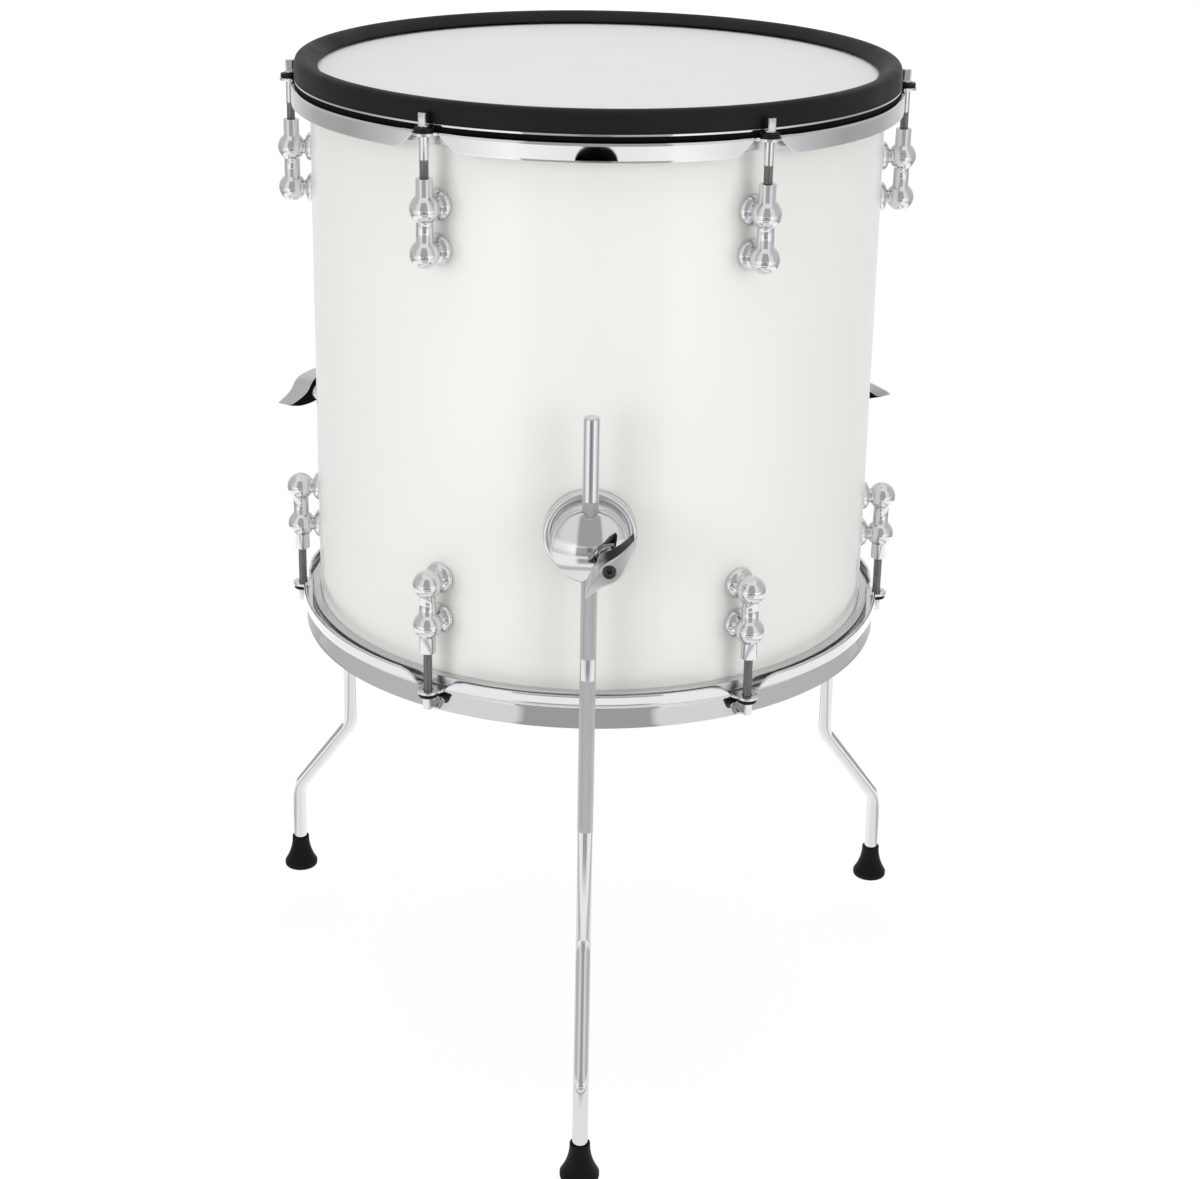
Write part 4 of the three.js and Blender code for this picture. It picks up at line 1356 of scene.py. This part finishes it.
def socket_piece():
    """Barrel, bore and body turned about the radial line at the back, and a six-sided nut."""
    nut_back = shell_radius + seat_gap
    nut_front = nut_back + nut_depth
    tip = nut_front + nut_depth / 3
    body_front = shell_radius - shell_wall - 0.0008
    bore_end, body_back = body_front - bore_depth, body_front - jack_depth
    barrel = [
        [0, bore_end],
        [barrel_bore, bore_end],
        [barrel_bore, tip - barrel_edge],
        [barrel_bore + barrel_edge, tip],
        [barrel_radius - barrel_edge, tip],
        [barrel_radius, tip - barrel_edge],
        [barrel_radius, body_front],
        [jack_radius, body_front],
        [jack_radius, body_back],
        [0, body_back],
    ]
    nut = [
        [nut_bore, nut_back],
        [nut_radius, nut_back],
        [nut_radius, nut_front - 0.0002],
        [nut_radius - 0.0003, nut_front],
        [nut_bore, nut_front],
    ]
    skins = [(laid(skin, shell_middle), nickel) for skin in (turned(barrel, 48), turned(nut, 6, True))]
    return piece("output_jack", skins, "drum", ["output_socket"], degrees=180, sharp=30)


print("socket faces:", len(socket_piece().data.polygons))

# %% [markdown]
# ## Floor, world and lamps
# Chrome has no colour of its own: it shows the room. In the picture it shows a pale floor that is
# brightest in front to both sides, dimmer beside and behind, a narrow dark stand where the camera
# is, and above the horizon a grey front with a tall bright panel at either side. So the room is
# written as brightness by compass angle, once for the floor and once for the walls, and both are
# read through one group that turns a direction into the cosine of its angle from the front.

# %% Compass group


def compass_group():
    """Front = -y / sqrt(x^2 + y^2): 1 towards the camera, 0 to the sides and -1 behind. Reach is
    the level distance itself."""
    wire, given, result = new_group("compass", {"Vector": None}, ["Front", "Reach", "Height"])
    split = wire.add("SeparateXYZ", given["Vector"]).outputs
    level = wire.add("VectorMath", given["Vector"], (1, 1, 0))
    level.operation = "MULTIPLY"
    length = wire.add("VectorMath", level.outputs["Vector"])
    length.operation = "LENGTH"
    reach = length.outputs["Value"]
    wire.feed(result["Front"], wire.math("DIVIDE", wire.times(split["Y"], -1.0), reach))
    wire.feed(result["Reach"], reach)
    wire.feed(result["Height"], split["Z"])
    return wire.tree


compass = compass_group()


def seen_from_axis(tree, source):
    """The wiring of an emptied tree, the compass's outputs and the mark of the camera's rays."""
    tree.nodes.clear()
    wire = Wiring(tree)
    where = wire.group(compass, Vector=wire.add("TexCoord").outputs[source])
    return wire, where, wire.add("LightPath").outputs["Is Camera Ray"]


# %% Floor
floor_half = 6.0
floor_drop = 0.041
floor_tone = 0.15
floor_light = [
    (0, 1.15), (12, 1.15), (30, 1.30), (50, 1.05), (64, 0.98),
    (80, 0.70), (100, 0.50), (125, 0.55), (145, 0.75), (180, 0.90),
]
near_light = [(0, 1.12), (60, 1.12), (110, 1.15), (140, 1.35), (180, 1.30)]
mat_shade, ring_shade, pole_shade = 0.60, 0.52, 0.55
mat_start, mat_side = (0.90, 0.93), (0.884, 0.897)
strip_side, strip_band = (0.88, 0.95), (0.50, 0.60, 0.76, 0.79)
# The ring band is a painted shadow of the drum in the floor's light.
ring_band, pole_start = (0.35, 0.38, 0.43, 0.48), (1.35, 1.45)


def mirrored_reach(height, front):
    """How far from the axis the floor lies that an upright mirror shows at this height: the
    camera's own drop of z - h over its distance goes on below the mirror for h."""
    _, eye_y, eye_z = camera_place
    return front + (height + floor_drop) * (-front - eye_y) / (eye_z - height)


hoop_front = skirt_radius + half_sheet - axis_y
hem_reach = mirrored_reach(top_hem, hoop_front)
stand_depth = 1.12 * (mirrored_reach(ledge_middle - top_bend, hoop_front) - hem_reach)
stand_side_share, pole_share = 0.132, 0.11
print("the upper hoop mirrors the floor from", round(hem_reach, 3), "on for", round(stand_depth, 3))


def floor_shade(wire, front, reach):
    """How much of the floor's light is left where a grey mat lies ahead, and on it the dark
    round-topped stand with (side / s)^2 + (past / d)^2 < 1, and the stand's pole beyond it. Under
    the drum a narrow ring of its light is darker, a painted shadow of the drum. The mat is lifted
    where the upper hoop mirrors the floor."""
    first, last = hem_reach - 0.25, hem_reach + 0.50
    clear = wire.band(reach, first, first + 0.1, last, last + 0.1)
    covered = wire.times(wire.step(reach, *mat_start), wire.left_by(clear))
    ahead = wire.times(wire.step(front, *mat_side), covered)
    strip = wire.times(wire.step(front, *strip_side), wire.band(reach, *strip_band))
    side = wire.math("DIVIDE", wire.left_by(wire.times(front, front)), stand_side_share**2)
    beyond = wire.math("MAXIMUM", wire.math("SUBTRACT", reach, hem_reach), 0.0)
    past = wire.math("DIVIDE", beyond, stand_depth)
    inside = wire.step(wire.math("ADD", side, wire.times(past, past)), 0.95, 1.05, 1.0, 0.0)
    stand = wire.times(inside, wire.step(front, 0.0, 0.1), wire.step(reach, first + 0.1, first + 0.2))
    pole_side = wire.step(front, 1 - pole_share**2 / 2, 1 - pole_share**2 / 4)
    past_start = wire.step(reach, *pole_start, 0.0, pole_shade)
    pole = wire.times(pole_side, past_start, wire.step(reach, first - 0.1, first, 1.0, 0.0))
    mat = wire.times(wire.math("ADD", ahead, strip), mat_shade)
    # The ring is a painted shadow of the drum in the floor's light.
    ring = wire.times(wire.band(reach, *ring_band, low=0.20), ring_shade)
    shade = wire.times(wire.left_by(mat), wire.left_by(wire.math("MAXIMUM", stand, pole)))
    return shade, wire.times(shade, wire.left_by(ring))


def floor_finish():
    """A pale matte floor. What it gives off is plain white to the camera, and to every other ray
    the brightness of a lit studio floor by compass angle."""
    material = bpy.data.materials.new("pale_floor")
    material.use_nodes = True
    wire, where, to_camera = seen_from_axis(material.node_tree, "Object")
    front, reach = where["Front"], where["Reach"]
    near = wire.by_angle(front, near_light)
    far = wire.times(wire.by_angle(front, floor_light), wire.step(reach, 1.05, 1.40, 0.80, 1.0))
    lit = wire.mix(wire.step(reach, 0.865, 0.90), near, far)
    shade, pooled = floor_shade(wire, front, reach)
    seen = wire.times(wire.math("SUBTRACT", lit, floor_tone), pooled)
    level = wire.mix(to_camera, seen, wire.step(reach, 1.2, 4.0, 0.86, 0.97))
    tone = wire.mix(to_camera, wire.times(shade, floor_tone), floor_tone)
    matte = wire.add("BsdfDiffuse", Color=tone).outputs["BSDF"]
    glow = wire.add("Emission", Strength=level).outputs["Emission"]
    wire.add("OutputMaterial", Surface=wire.add("AddShader", matte, glow).outputs["Shader"])
    return material


corners = np.array([[-1, -1], [1, -1], [1, 1], [-1, 1]]) * floor_half
floor_mesh = bpy.data.meshes.new("studio_floor")
floor_mesh.from_pydata([(x, y, -floor_drop) for x, y in corners.tolist()], [], [(0, 1, 2, 3)])
floor_mesh.materials.append(floor_finish())
floor = stood("studio_floor", floor_mesh)

# %% World
wall_light = [
    (0, 0.45), (25, 0.45), (28.5, 0.90), (55, 0.90),
    (66, 0.64), (120, 0.60), (140, 0.74), (180, 0.80),
]
ceiling_light = 0.92


def room():
    """Walls by compass angle, a ceiling above them, and plain white for the camera's own rays."""
    world = bpy.data.worlds.new("studio")
    bpy.context.scene.world = world
    world.use_nodes = True
    wire, where, to_camera = seen_from_axis(world.node_tree, "Generated")
    walls = wire.by_angle(where["Front"], wall_light)
    level = wire.mix(wire.step(where["Height"], 0.80, 0.86), walls, ceiling_light)
    shade = wire.add("Background", Color=(1, 1, 1, 1), Strength=wire.mix(to_camera, level, 1.0))
    wire.add("OutputWorld", Surface=shade.outputs["Background"])


room()
print("world nodes:", len(bpy.context.scene.world.node_tree.nodes))

# %% Lamps


def softbox(name, place, aim, size, watts):
    """A square area lamp turned so that its -Z axis points at the aim."""
    lamp = bpy.data.lights.new(name, "AREA")
    lamp.size = size
    lamp.energy = watts
    ahead = np.array(aim, float) - np.array(place, float)
    ahead /= np.linalg.norm(ahead)
    right = np.cross(ahead, [0, 0, 1])
    right /= np.linalg.norm(right)
    axes = np.stack([right, np.cross(right, ahead), -ahead], axis=1)
    holder = stood(name, lamp)
    holder.matrix_world = Matrix.Translation(place) @ Matrix(axes.tolist()).to_4x4()
    holder.visible_glossy = False


middle = (0.0, axis_y, shell_middle)
softbox("left_softbox", (-2.2, -1.9, 0.9), middle, 1.6, 25)
softbox("right_softbox", (2.3, -1.9, 0.9), middle, 1.6, 23)
softbox("top_softbox", (0.0, -0.3, 2.6), (0.0, 0.0, shell_top), 2.0, 12)
bpy.context.scene.view_settings.view_transform = "Standard"
print("lamps:", [lamp.name for lamp in bpy.data.lights])
